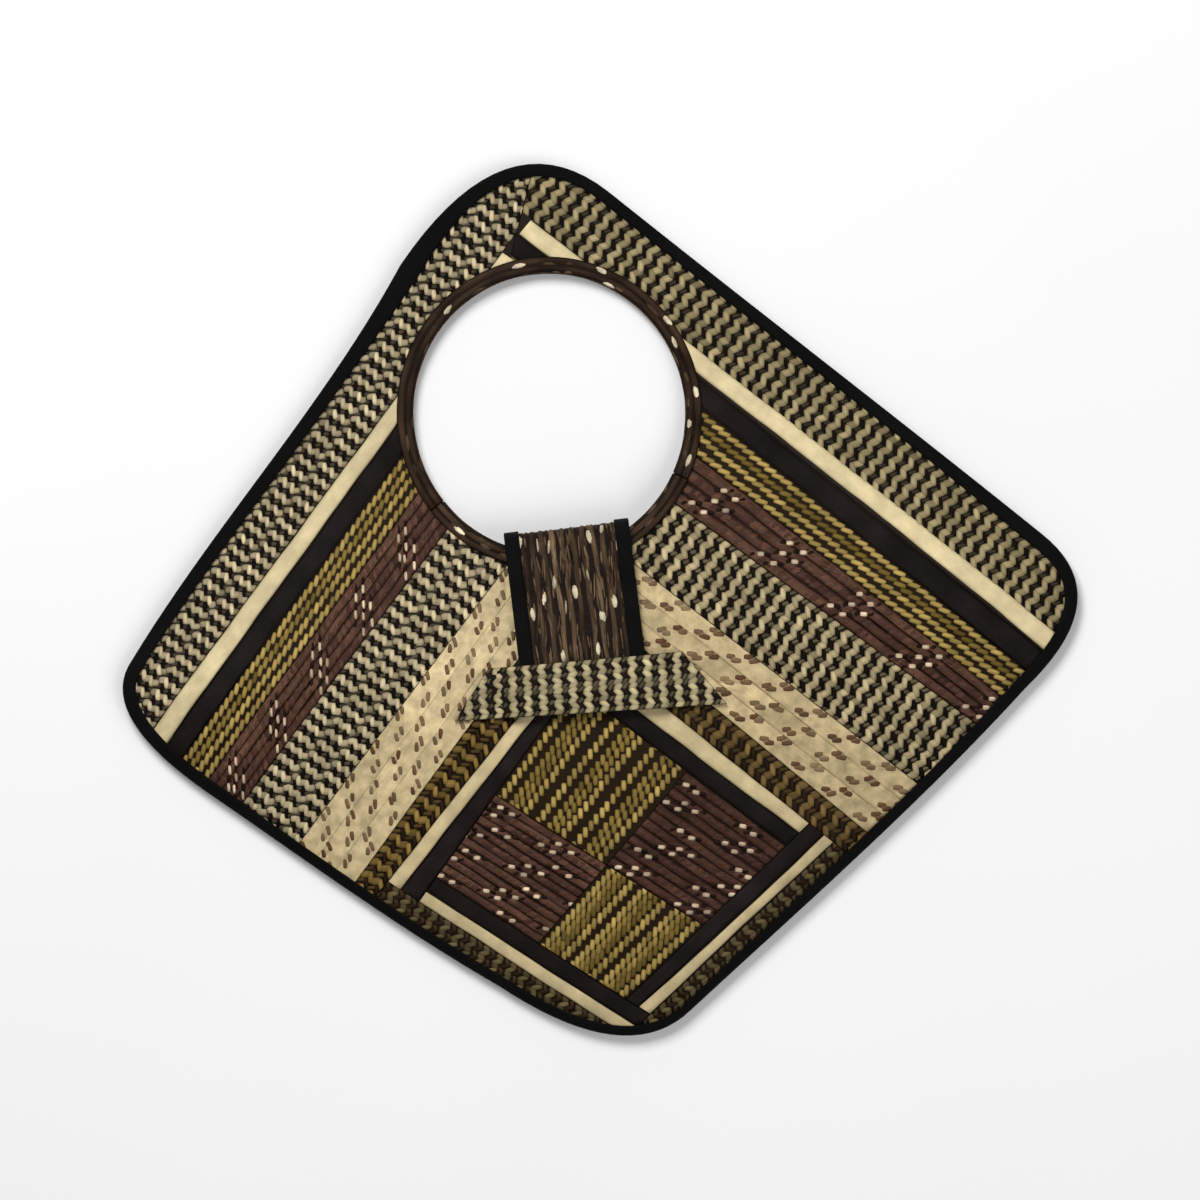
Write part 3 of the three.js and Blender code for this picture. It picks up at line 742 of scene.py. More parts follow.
# Maroon braids: the repeat of the cream dots (mm), how they lean (degrees), a dot's size (mm), the ropes and
# their lightest tone, and the rows of dots in one repeat, each with its place across and its dots' places
# along it (mm)
MAROON = dict(
    left=dict(spacing=32.6, lean=-38, dot=(4.6, 1.8), ropes=5, light="maroon_light", rows=(
        (0.28, (5.6, 0.7)), (0.51, (0.0, -5.8)), (0.66, (1.5, -4.8)), (0.90, (-4.8, -10.3)))),
    right=dict(spacing=38.8, lean=36, dot=(3.6, 2.7), ropes=4, light="maroon_light", rows=(
        (0.20, (0.0, -7.2)), (0.50, (0.0, -7.1)), (0.80, (7.5, 0.0)))),
    patch_left=dict(spacing=32.0, lean=25, dot=(3.5, 2.4), ropes=4, light="maroon_light", rows=(
        (0.13, (12.0, 18.4)), (0.47, (1.1, 7.1)), (0.76, (7.8, 14.0)))),
    patch_right=dict(spacing=32.0, lean=28, dot=(3.7, 2.6), ropes=4, light="maroon_mid", rows=(
        (0.27, (-2.0, -8.0)), (0.66, (-6.8, -12.4)), (0.90, (0.0, -6.2)))),
)
# Where the first dots lie along each of the braids side by side on a strip (mm)
MAROON_FIRST = dict(
    left=(14.5,), right=(17.1,), patch_left=(159.3, 195.3, 169.6), patch_right=(105.4, 94.6, 105.2),
)
# The splints of a maroon rope: their step (mm), length in steps, width and lean as shares of the rope's and
# the dots', their mix of the two tones, and their height (mm)
BUMP = dict(pitch=3.6, steps=(1.3, 1.8), width=0.84, lean=0.4, mix=(0.15, 0.8), crown=0.02)
# How uneven they are, in place across (share), lean (degrees) and height (mm), and how uneven the dots are,
# in place along (mm) and across (share) and in tone
BUMP_UNEVEN = dict(across=0.006, lean=4, height=0.04)
DOT_UNEVEN = dict(along=0.35, across=0.012, tone=0.18, slit_tone=0.1)
DOTS_BEFORE = 8      # groups of dots laid before the first. Those past the strip's end fall away
DOT_CROWN = 0.5
SLIT_CROWN = 0.15
SLIT_AWAY = 0.95     # from a dot to the dark slits beside it, in lengths of a dot


def maroon(lane, first, spacing, lean, dot, ropes, light, rows):
    """Maroon ropes along the lane, with rows of cream dots on them at even steps, darker beside the dots."""
    soups = strands(lane, ropes, ("maroon", light), crown=-0.08, spread=0.15, across=ROUND_ACROSS, sway=0.3,
                    step=2.0, shade=0.45)
    for rope in range(ropes):
        s = np.arange(lane.start, lane.end, BUMP["pitch"]) + random.uniform(0, BUMP["pitch"])
        count = len(s)
        v = (rope + 0.5) / ropes + random.normal(0, BUMP_UNEVEN["across"], count)
        tone = between("maroon", light, random.uniform(*BUMP["mix"], (count, 1)))
        turn = lean * BUMP["lean"] + random.normal(0, BUMP_UNEVEN["lean"], count)
        length = BUMP["pitch"] * random.uniform(*BUMP["steps"], count)
        width = BUMP["width"] * lane.width(s) / ropes
        crown = random.normal(BUMP["crown"], BUMP_UNEVEN["height"], count)
        soups.append(lane.floats(s, v, turn, length, width, crown, tone, shade=0.65))
    middles = np.arange(first - DOTS_BEFORE * spacing, lane.end + spacing, spacing)
    count = len(middles)
    angle = math.radians(lean)
    for v, offsets in rows:
        for offset in offsets:
            s = middles + offset + random.normal(0, DOT_UNEVEN["along"], count)
            across = v + random.normal(0, DOT_UNEVEN["across"], count)
            tone = varied(TONES["dot"], count, DOT_UNEVEN["tone"])
            soups.append(lane.floats(s, across, lean, *dot, DOT_CROWN, tone))
            for away in (-SLIT_AWAY * dot[0], SLIT_AWAY * dot[0]):
                slit_v = across + away * math.sin(angle) / lane.width(s)
                tone = varied(TONES["maroon_dark"], count, DOT_UNEVEN["slit_tone"])
                soups.append(lane.floats(s + away * math.cos(angle), slit_v, lean, *dot, SLIT_CROWN, tone))
    return soups


# Speckled strips: the slope of their blocks, the dashes of a brown mark and how far apart they lie (mm), and
# each lane's period and first mark (mm)
SPECKLED = dict(
    left=dict(tone="speckled", joint=-0.004, slope=-1.3, lean=-40, dash=(5.0, 2.7), apart=3.5, halo=0.2,
              lanes=((19.1, 42.4), (18.4, 46.4), (18.0, 47.3))),
    right=dict(tone="speckled_right", joint=0.003, slope=1.33, lean=34, dash=(5.4, 3.1), apart=3.0, halo=0.6,
               lanes=((19.5, 56.0), (18.4, 56.0), (18.0, 61.5))),
)
MARK_ROWS = (0.17, 0.68)     # across a lane
BLOCK_BEFORE = 0.33          # from a block's corner to its first mark, in widths of a lane along the slope
BLOCK_OVERLAP = 0.8
BLOCKS_AHEAD = 12            # blocks laid before the first charted mark
BLOCKS_AFTER = 2             # blocks laid past the end of the strip
HALO = (8.0, 3.6)            # length and width of the stain round a mark (mm)
HALO_LEAN = 0.4              # in leans of the marks
BLOCK_CROWN = -0.3
HALO_CROWN = -0.02
MARK_CROWN = 0.24
BLOCK_UNEVEN = 0.07
# How uneven the marks are: in place along (mm) and across (share), how faint one can be and how much paler
# one of its dashes, and in the dashes' lean (degrees), distance (mm) and length (share)
MARK_UNEVEN = dict(along=0.6, across=0.02, faint=(0, 0.5), paler=(-0.05, 0.15), lean=8, apart=0.25,
                   length=(0.82, 1.12))


def speckled(strip, tone, joint, slope, lean, dash, apart, halo, lanes):
    """Lanes of broad cream blocks with slanting sides, and a row of brown marks on each half of a lane."""
    soups = []
    for i, (period, first) in enumerate(lanes):
        lane = Lane(strip, i / len(lanes) + joint, (i + 1) / len(lanes) - joint)
        middles = first + period * np.arange(-BLOCKS_AHEAD, (lane.end - first) / period + BLOCKS_AFTER)
        count = len(middles)
        wide = slope * lane.width(middles)
        blocks = lane.made(pairs(middles - wide * BLOCK_BEFORE, 0.0),
                           pairs(np.full(count, period + BLOCK_OVERLAP), 0.0), pairs(wide, 1.0), BLOCK_CROWN,
                           varied(TONES[tone], count, BLOCK_UNEVEN), shape=BLOCK, shade=0.96)
        seen = shown(strip.plan(blocks.places).reshape(-1, 2)).reshape(count, -1).any(axis=1)
        soups.append(strip.lay(blocks.kept(seen)))
        for row in MARK_ROWS:
            s = middles + wide * (row - MARK_ROWS[0]) + random.normal(0, MARK_UNEVEN["along"], count)
            v = row + random.normal(0, MARK_UNEVEN["across"], count)
            faint = random.uniform(*MARK_UNEVEN["faint"], (count, 1)) ** 2
            stain = between(tone, "speck", halo * (1 - faint))
            soups.append(lane.floats(s, v, lean * HALO_LEAN, *HALO, HALO_CROWN, stain, shade=1.0))
            for side in (-0.5, 0.5):
                paler = (faint + random.uniform(*MARK_UNEVEN["paler"], (count, 1))).clip(0, 1)
                brown = between("speck", tone, paler)
                turn = lean + random.normal(0, MARK_UNEVEN["lean"], count)
                place = s + side * apart + random.normal(0, MARK_UNEVEN["apart"], count)
                length = dash[0] * random.uniform(*MARK_UNEVEN["length"], count)
                soups.append(lane.floats(place, v, turn, length, dash[1], MARK_CROWN, brown, shade=0.9))
    return soups


# Finishes

def new_material(name, roughness, specular):
    material = bpy.data.materials.new(name)
    material.use_nodes = True
    shader = material.node_tree.nodes["Principled BSDF"]
    shader.inputs["Roughness"].default_value = roughness
    shader.inputs["Specular IOR Level"].default_value = specular
    return material, material.node_tree, shader


def add_node(tree, kind, links, **values):
    """A shader node with some inputs linked to other nodes' outputs, and others set."""
    node = tree.nodes.new(kind)
    for name, value in values.items():
        node.inputs[name.replace("_", " ")].default_value = value
    for name, output in links.items():
        tree.links.new(output, node.inputs[name])
    return node


def noise_between(tree, vector, low, high, scale, detail):
    """A noise from low to high, read along a vector."""
    noise = add_node(tree, "ShaderNodeTexNoise", dict(Vector=vector), Scale=scale, Detail=detail)
    spread = add_node(tree, "ShaderNodeMapRange", dict(Value=noise.outputs["Fac"]), From_Min=0.25,
                      From_Max=0.75, To_Min=low, To_Max=high)
    return spread.outputs["Result"]


def attribute(tree, name):
    node = tree.nodes.new("ShaderNodeAttribute")
    node.attribute_name = name
    return node


def mottled(tree, low, high, scale, detail):
    """Soft patches over the whole piece, lighter and darker."""
    place = tree.nodes.new("ShaderNodeTexCoord")
    return noise_between(tree, place.outputs["Object"], low, high, scale, detail)


def tinted(tree, shader, shade):
    """The base colour: each splint's own tone, times a shade."""
    colour = tree.nodes.new("ShaderNodeVectorMath")
    colour.operation = "SCALE"
    tree.links.new(attribute(tree, "tone").outputs["Color"], colour.inputs["Vector"])
    tree.links.new(shade, colour.inputs["Scale"])
    tree.links.new(colour.outputs["Vector"], shader.inputs["Base Color"])


def bumped(tree, shader, height, strength, distance):
    bump = add_node(tree, "ShaderNodeBump", dict(Height=height), Strength=strength, Distance=distance)
    tree.links.new(bump.outputs["Normal"], shader.inputs["Normal"])


CANE_ROUGHNESS = 0.6


def cane(name, specular=0.06, streak=(0.78, 1.14), mottle=(0.86, 1.10), depth=0.35, patches=90.0):
    """Split cane: a tone of its own for each splint, fine streaks along it and soft mottling over all."""
    material, tree, shader = new_material(name, CANE_ROUGHNESS, specular)
    stretch = add_node(tree, "ShaderNodeMapping", dict(Vector=attribute(tree, "grain").outputs["Vector"]),
                       Scale=(0.16, 2.6, 1.0))
    along = stretch.outputs["Vector"]
    streaks = noise_between(tree, along, *streak, scale=1.0, detail=3.0)
    shade = tree.nodes.new("ShaderNodeMath")
    shade.operation = "MULTIPLY"
    tree.links.new(streaks, shade.inputs[0])
    tree.links.new(mottled(tree, *mottle, scale=patches, detail=3.0), shade.inputs[1])
    tinted(tree, shader, shade.outputs["Value"])
    rough = noise_between(tree, along, CANE_ROUGHNESS - 0.10, CANE_ROUGHNESS + 0.12, scale=1.7, detail=2.0)
    tree.links.new(rough, shader.inputs["Roughness"])
    bumped(tree, shader, streaks, strength=depth, distance=0.00012)
    return material


def woven_tape(name):
    """Black ribbed tape: fine ribs across it, matt with a faint sheen."""
    material, tree, shader = new_material(name, roughness=0.7, specular=0.05)
    shader.inputs["Sheen Weight"].default_value = 0.02
    shader.inputs["Sheen Roughness"].default_value = 0.5
    ribs = add_node(tree, "ShaderNodeTexWave", dict(Vector=attribute(tree, "grain").outputs["Vector"]),
                    Scale=0.42, Distortion=0.6, Detail=2.0)
    ribs.bands_direction = "X"
    tinted(tree, shader, mottled(tree, low=0.75, high=1.5, scale=45.0, detail=4.0))
    bumped(tree, shader, ribs.outputs["Fac"], strength=0.4, distance=0.00015)
    return material


CANES = dict(
    zigzag_braid=dict(),
    cream_cane=dict(specular=0.14, streak=(0.90, 1.06), mottle=(0.80, 1.10), depth=0.25, patches=150.0),
    dark_cane=dict(specular=0.04, streak=(0.75, 1.25), mottle=(0.75, 1.3), depth=0.3),
    gold_cord=dict(),
    maroon_braid=dict(streak=(0.55, 1.45), mottle=(0.75, 1.25), depth=0.5),
    speckled_cane=dict(specular=0.14, streak=(0.84, 1.10), mottle=(0.64, 1.24), depth=0.4, patches=190.0),
    tan_braid=dict(),
    rim_braid=dict(streak=(0.5, 1.5), mottle=(0.75, 1.25), depth=0.6),
)
FINISHES = {name: cane(name, **how) for name, how in CANES.items()}
FINISHES["black_tape"] = woven_tape("black_tape")


# Grounds and pieces

def ground(node, tone, strip):
    """A node's own solid with shared points joined and its face lowered, to carry the floats."""
    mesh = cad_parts[node].data
    co = np.zeros(len(mesh.vertices) * 3, np.float32)
    mesh.vertices.foreach_get("co", co)
    co = co.reshape(-1, 3) / MM
    _, first, index = np.unique(np.round(co, 3), axis=0, return_index=True, return_inverse=True)
    points = co[first].astype(float)
    faces = [[int(index[v]) for v in face.vertices] for face in mesh.polygons]
    faces = [face for face in faces if len(set(face)) == len(face)]
    on_face = strip.facing * (points[:, 2] - strip.level(points[:, :2])) > -WALL / 2
    points[on_face, 2] += strip.facing * GROUND
    tones = np.broadcast_to(TONES[tone], points.shape)
    loops = [v for face in faces for v in face]
    return Soup(points, loops, [len(face) for face in faces], tones, points, smooth_faces=False)


def swept(rings, tone, grains, looped=False):
    """A closed skin through rings of points. Ends that don't meet are capped."""
    count, size = rings.shape[:2]
    index = np.arange(count * size).reshape(count, size)
    after = np.roll(index, -1, axis=0) if looped else index[1:]
    before = index if looped else index[:-1]
    quads = np.stack([before, np.roll(before, -1, axis=1), np.roll(after, -1, axis=1), after], axis=-1)
    loops = quads.reshape(-1)
    sizes = np.full(quads.shape[0] * quads.shape[1], 4)
    if not looped:
        loops = np.concatenate([loops, index[0, ::-1], index[-1]])
        sizes = np.concatenate([sizes, [size, size]])
    points = rings.reshape(-1, 3)
    if volumes(points - points.mean(axis=0), loops, sizes).sum() < 0:
        loops = flipped(loops, sizes)
    tones = np.broadcast_to(TONES[tone], (count * size, 3))
    return Soup(points, loops, sizes, tones, grains)


def add_piece(name, soups, slot, node):
    """A mesh object that stands for a node."""
    soup = merged(soups)
    mesh = bpy.data.meshes.new(name)
    mesh.vertices.add(len(soup.points))
    mesh.vertices.foreach_set("co", (soup.points * MM).astype(np.float32).ravel())
    mesh.loops.add(len(soup.loops))
    mesh.loops.foreach_set("vertex_index", soup.loops.astype(np.int32))
    mesh.polygons.add(len(soup.sizes))
    mesh.polygons.foreach_set("loop_start", (np.cumsum(soup.sizes) - soup.sizes).astype(np.int32))
    mesh.update(calc_edges=True)
    mesh.polygons.foreach_set("use_smooth", soup.smooth)
    tones = np.c_[soup.tones, np.ones(len(soup.tones))].astype(np.float32)
    mesh.attributes.new("tone", "FLOAT_COLOR", "POINT").data.foreach_set("color", tones.ravel())
    grains = soup.grains.astype(np.float32)
    mesh.attributes.new("grain", "FLOAT_VECTOR", "POINT").data.foreach_set("vector", grains.ravel())
    mesh.materials.append(FINISHES[slot])
    piece = bpy.data.objects.new(name, mesh)
    bpy.context.scene.collection.objects.link(piece)
    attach(piece, "root")
    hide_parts(node)


def add_strip(node, strip, weave, slot, ground_tone="dark_ground"):
    add_piece(f"{node}_weave", [ground(node, ground_tone, strip)] + weave, slot, node)


# Strips of the two sides

# A zigzag strip is some braids sewn edge to edge: how many, the width of one (mm), how much further along
# each one starts (mm), and how it is made. Seen from the front its splints stand upright or lie level on both
# sides
OUTER = dict(
    left=dict(lanes=3, width=10.5, step=3.1, braid=dict(
        columns=5, pitch=6.4, light="zigzag_light", dark="zigzag_brown", leans=(-50, 42), lengths=(3.9, 5.4),
        shares=((0.72, 0.44), (0.62, 0.44)), dim=0.60, haze=0.08)),
    right=dict(lanes=2, width=18.6, step=0.0, braid=dict(
        columns=6, pitch=6.32, light="zigzag_warm", dark="zigzag_brown", leans=(-54, 50), lengths=(5.4, 5.8),
        shares=((0.76, 0.34), (0.70, 0.37)), dim=0.86, haze=0.10, first=1)),
)
INNER = dict(
    left=dict(lanes=3, width=11.0, step=3.1, braid=dict(
        columns=5, pitch=6.4, light="zigzag_light", dark="zigzag_dark", leans=(50, -42), lengths=(3.9, 5.4),
        shares=((0.76, 0.42), (0.66, 0.42)), dim=0.66, haze=0.10)),
    right=dict(lanes=4, width=11.4, step=-0.45, braid=dict(
        columns=4, pitch=6.8, light="zigzag_mid", dark="zigzag_dark", leans=(54, -50), lengths=(4.6, 5.8),
        shares=((0.72, 0.36), (0.62, 0.42)), dim=0.82, haze=0.22)),
)
TAN = dict(
    left=dict(columns=4, pitch=7.1, light="tan_light", dark="tan_dark", leans=(50, -42), lengths=(5.0, 6.0)),
    right=dict(columns=4, pitch=7.4, light="tan_mid", dark="tan_dark", leans=(54, -50), lengths=(5.0, 6.0)),
)
TAN_LOWER = dict(columns=6, light="tan_grey", dark="tan_dark", haze=0.3, shares=((0.66, 0.40), (0.56, 0.46)))
TAN_LOWER_WIDTH = 14.4
# How far the cream strips' two long sides bow inward (mm)
CREAM_BOWS = dict(left=(0.0, 0.0), right=(-1.0, -1.5))


def braided(strip, how):
    """Zigzag braids side by side on a strip."""
    weave = []
    for i in range(how["lanes"]):
        weave += zigzag(Lane(strip, i, i + 1), phase=i * how["step"], **how["braid"])
    return weave


def side_strip(side, outer, inner, end="across_hole", **how):
    """The strip between two seams of a side, from the lower edge to its upper end."""
    own = SEAMS[side]
    return Strip(own[outer], own["lower_edge"], own[inner], own[end], **how)


for side in ("left", "right"):
    strip = side_strip(side, "zigzag_outer", "edge", "mitre", width=OUTER[side]["width"])
    add_strip(f"zigzag_outer_{side}", strip, braided(strip, OUTER[side]), "zigzag_braid")

    strip = side_strip(side, "zigzag_outer", "cream_strip", bows=CREAM_BOWS[side])
    add_strip(f"cream_strip_{side}", strip, plain(strip, "cream"), "cream_cane")

    strip = side_strip(side, "cream_strip", "dark_strip")
    add_strip(f"dark_strip_{side}", strip, plain(strip, "dark"), "dark_cane")

    strip = side_strip(side, "dark_strip", "gold_cords")
    add_strip(f"gold_cords_{side}", strip, gold(Lane(strip), **GOLD[side]), "gold_cord", "gold_dark")

    strip = side_strip(side, "gold_cords", "maroon_braid")
    weave = maroon(Lane(strip), *MAROON_FIRST[side], **MAROON[side])
    add_strip(f"maroon_braid_{side}", strip, weave, "maroon_braid", "maroon_dark")

    strip = side_strip(side, "maroon_braid", "zigzag_inner", width=INNER[side]["width"])
    add_strip(f"zigzag_inner_{side}", strip, braided(strip, INNER[side]), "zigzag_braid")

    strip = side_strip(side, "zigzag_inner", "speckled_strip", "middle")
    weave = speckled(strip, **SPECKLED[side])
    # The ground colour is a darker cream: painted shade in the seams and gaps between the blocks
    add_strip(f"speckled_strip_{side}", strip, weave, "speckled_cane", "speckled_gap_shade")

    strip = side_strip(side, "speckled_strip", "tan_zigzag", "middle")
    add_strip(f"tan_zigzag_{side}", strip, zigzag(Lane(strip), **TAN[side]), "tan_braid")

    own = SEAMS[side]
    strip = Strip(own["cream_outer"], own["tan_zigzag"], own["lower_edge"], MIDDLE, width=TAN_LOWER_WIDTH)
    weave = zigzag(Lane(strip), pitch=TAN[side]["pitch"], **TAN_LOWER)
    add_strip(f"tan_lower_{side}", strip, weave, "tan_braid")

# Strips above the hole and round the square, and the four squares

left, right = SEAMS["left"], SEAMS["right"]
BANDS = dict(
    cream_top_left=(left["zigzag_outer"], MITRE_LINE, left["cream_strip"], left["across_hole"]),
    cream_top_right=(right["zigzag_outer"], MITRE_LINE, right["cream_strip"], right["across_hole"]),
    dark_top_right=(right["cream_strip"], MITRE_LINE, right["dark_strip"], right["across_hole"]),
    cream_frame_upper_left=(left["tan_zigzag"], left["cream_outer"], left["cream_frame"], MIDDLE),
    cream_frame_upper_right=(right["tan_zigzag"], right["dark_inner"], right["cream_frame"], MIDDLE),
    cream_frame_lower_left=(
        left["cream_outer"], left["dark_frame"], left["cream_inner"], right["cream_outer"]),
    cream_frame_lower_right=(
        right["cream_outer"], right["tan_zigzag"], right["cream_inner"], left["dark_inner"]),
    dark_frame_upper_left=(left["cream_frame"], left["cream_outer"], left["dark_frame"], MIDDLE),
    dark_frame_upper_right=(right["cream_frame"], right["dark_inner"], right["dark_frame"], MIDDLE),
    dark_frame_lower_left=(left["cream_inner"], left["dark_frame"], left["dark_inner"], right["cream_outer"]),
    dark_frame_lower_right=(
        right["cream_inner"], right["tan_zigzag"], right["dark_inner"], left["dark_inner"]),
)
# How far the long sides of the strips round the square bow (mm)
BAND_BOWS = dict(cream_frame_upper_right=(0.0, 0.7), cream_frame_lower_right=(0.7, -0.6))
# Where the two cream strips above the hole end, short of the mitre
CREAM_ENDS = dict(cream_top_left=seam_at(-20.6, 160.1, 139), cream_top_right=seam_at(-10.5, 172.5, 43))
for node, seams in BANDS.items():
    strip = Strip(*seams, bows=BAND_BOWS.get(node, (0.0, 0.0)))
    if node.startswith("cream"):
        tone = "cream_frame" if "frame" in node else "cream"
        visible = Strip(seams[0], CREAM_ENDS.get(node, seams[1]), *seams[2:], bows=strip.bows)
        add_strip(node, strip, plain(visible, tone), "cream_cane")
    else:
        add_strip(node, strip, plain(strip, "dark"), "dark_cane")

PATCHES = dict(
    gold_patch_top=(left["dark_frame"], FALLING, RISING, right["dark_frame"]),
    gold_patch_bottom=(right["dark_inner"], left["dark_inner"], RISING, FALLING),
    maroon_patch_left=(left["dark_inner"], left["dark_frame"], FALLING, RISING),
    maroon_patch_right=(right["dark_frame"], right["dark_inner"], FALLING, RISING),
)
PATCH_LANES = 3
PATCH_GAPS = dict(gold=0.022, maroon=0.004)
PATCH_SLOTS = dict(gold="gold_cord", maroon="maroon_braid")
for node, seams in PATCHES.items():
    kind, braid = node.split("_", 1)
    strip = Strip(*seams)
    weave = []
    for i in range(PATCH_LANES):
        lane = Lane(strip, i / PATCH_LANES + PATCH_GAPS[kind], (i + 1) / PATCH_LANES - PATCH_GAPS[kind])
        if kind == "gold":
            weave += gold(lane, **GOLD[braid])
        else:
            weave += maroon(lane, MAROON_FIRST[braid][i], **MAROON[braid])
    add_strip(node, strip, weave, PATCH_SLOTS[kind], f"{kind}_dark")

# Keeper band

KEEPER_BRAID = dict(columns=5, pitch=6.8, light="keeper_light", dark="keeper_dark", leans=(48, -48),
                    lengths=(4.6, 5.0), shares=((0.72, 0.38), (0.66, 0.40)), dim=0.82, haze=0.16)
low_left, low_right, top_right, top_left = [np.array(at) for at in KEEPER.values()]
strip = Strip((low_left, low_right), (low_right, top_right), (top_left, top_right), (low_left, top_left),
              level=keeper_z)
weave = zigzag(Lane(strip, 0.0, 0.5), **KEEPER_BRAID) + zigzag(Lane(strip, 0.5, 1.0), **KEEPER_BRAID)
add_strip("keeper_band", strip, weave, "zigzag_braid")


# Taped edge

TAPE_STEPS = 4
TAPE_NOSE = 0.2     # how far the middle of a tape's cut edge stands out, in walls


def tape_profile(leg, low, high, wall, radius):
    """A folded tape's section: how far each point reaches inward, and its level."""
    turn = np.radians(np.linspace(0, 90, 5))
    top_leg = np.linspace(leg, radius, TAPE_STEPS + 1)[:-1]
    outer = [(reach, high) for reach in top_leg]
    outer += [(radius - radius * math.sin(a), high - radius + radius * math.cos(a)) for a in turn]
    outer += [(radius - radius * math.cos(a), low + radius - radius * math.sin(a)) for a in turn]
    outer += [(reach, low) for reach in top_leg[::-1]]
    inner = [(leg + wall * TAPE_NOSE, low + wall / 2), (leg, low + wall)]
    inner += [(wall, low + wall), (wall, high - wall)]
    inner += [(reach, high - wall) for reach in np.linspace(wall, leg, TAPE_STEPS + 1)[1:]]
    inner += [(leg + wall * TAPE_NOSE, high - wall / 2)]
    return np.array(outer + inner)


def tape_grains(runs, profile):
    """Places in the grain of a tape: along it, and round its section."""
    return np.stack(np.broadcast_arrays(runs[:, None], arc_lengths(profile)[None], 0.0), axis=-1)


LEG = 6.0
MIDWAY = (BACK_TOP + FRONT_TOP) / 2
profile = tape_profile(LEG, RIM_LOW, RIM_HIGH, TAPE, radius=0.9)
reach = np.where(profile[:, 0] <= TAPE, profile[:, 0],
                 TAPE + (profile[:, 0] - TAPE) * (OUTLINE_TAPE[:, None] - TAPE) / (LEG - TAPE))
inward = turned_left(OUTLINE_ALONG)
plan = OUTLINE[:, None] + reach[..., None] * inward[:, None]
lift = np.where(profile[:, 1] > MIDWAY, front_z(plan) - FRONT_TOP, 0)
closed, closed_in, closed_tape = [np.concatenate([a, a[:1]]) for a in (OUTLINE, inward, OUTLINE_TAPE)]
runs = arc_lengths(closed)
binding = swept(raised(plan, profile[:, 1] + lift), "tape", tape_grains(runs[:-1], profile), looped=True)

STITCH = dict(pitch=4.4, length=3.2, width=0.7, from_edge=1.4, crown=0.22, low=-0.25)
stitch_at = np.arange(0, runs[-1] - STITCH["pitch"], STITCH["pitch"])
lengths = np.full(len(stitch_at), STITCH["length"])
widths = np.full(len(stitch_at), STITCH["width"])
depth = np.interp(stitch_at, runs, closed_tape) - STITCH["from_edge"]
thread = Floats(pairs(stitch_at, depth), pairs(lengths, 0.0), pairs(0.0, widths), STITCH["crown"],
                TONES["thread"])
run, inside = thread.places[..., 0], thread.places[..., 1]
plan = at_run(run, runs, closed) + unit(at_run(run, runs, closed_in)) * inside[..., None]
height = front_z(plan) + RIM_HIGH - FRONT_TOP + np.maximum(thread.heights, STITCH["low"])
stitches = thread.soup(raised(plan, height), lengths, widths)
add_piece("edge_binding_tape", [binding, stitches], "black_tape", "edge_binding")


# Bent bands, and the splints that show on brown braids

class Band:
    """A bent face of even breadth: s runs along it, t across it."""

    def width(self, s):
        return np.full_like(np.asarray(s, float), self.breadth)

    def lay(self, floats):
        s, v = floats.places[..., 0], floats.places[..., 1]
        columns = floats.shape.columns
        lengths = np.abs(s[:, s.shape[1] - columns] - s[:, 0])
        widths = np.abs(v[:, columns - 1] - v[:, 0]) * self.breadth
        return floats.soup(self.face(s, v * self.breadth, floats.heights), lengths, widths)


FLECK = (7.6, 2.9)     # length and full breadth (mm)


def flecks_on(lane, places, crown):
    """Cream flecks: the distance along a lane, the share of its width, and the share of the full breadth."""
    s, v, breadth = np.array(places, float).T
    tone = varied(TONES["fleck"], len(s), 0.1) * (0.55 + 0.45 * breadth)[:, None]
    turn = random.normal(0, 5, len(s))
    return [lane.floats(s, v, turn, FLECK[0], FLECK[1] * breadth, crown, tone, shape=LOZENGE, shade=0.7)]


def streaks_on(lane, count, crown, width, lightest, lengths):
    """Darker and lighter splints that come to the top for a short way along a brown braid."""
    s = random.uniform(lane.start + 6, lane.end - 6, count)
    v = random.uniform(0.06, 0.94, count)
    tone = between("brown_dark", "brown_light", random.uniform(-0.1, lightest, (count, 1)))
    turn = random.normal(0, 5, count)
    length = random.uniform(*lengths, count)
    return [lane.floats(s, v, turn, length, width, crown, tone, shape=LOZENGE, shade=0.8)]


# Rim of the hole

RIM_ROUND = 1.0
RIM_RELIEF = 0.45


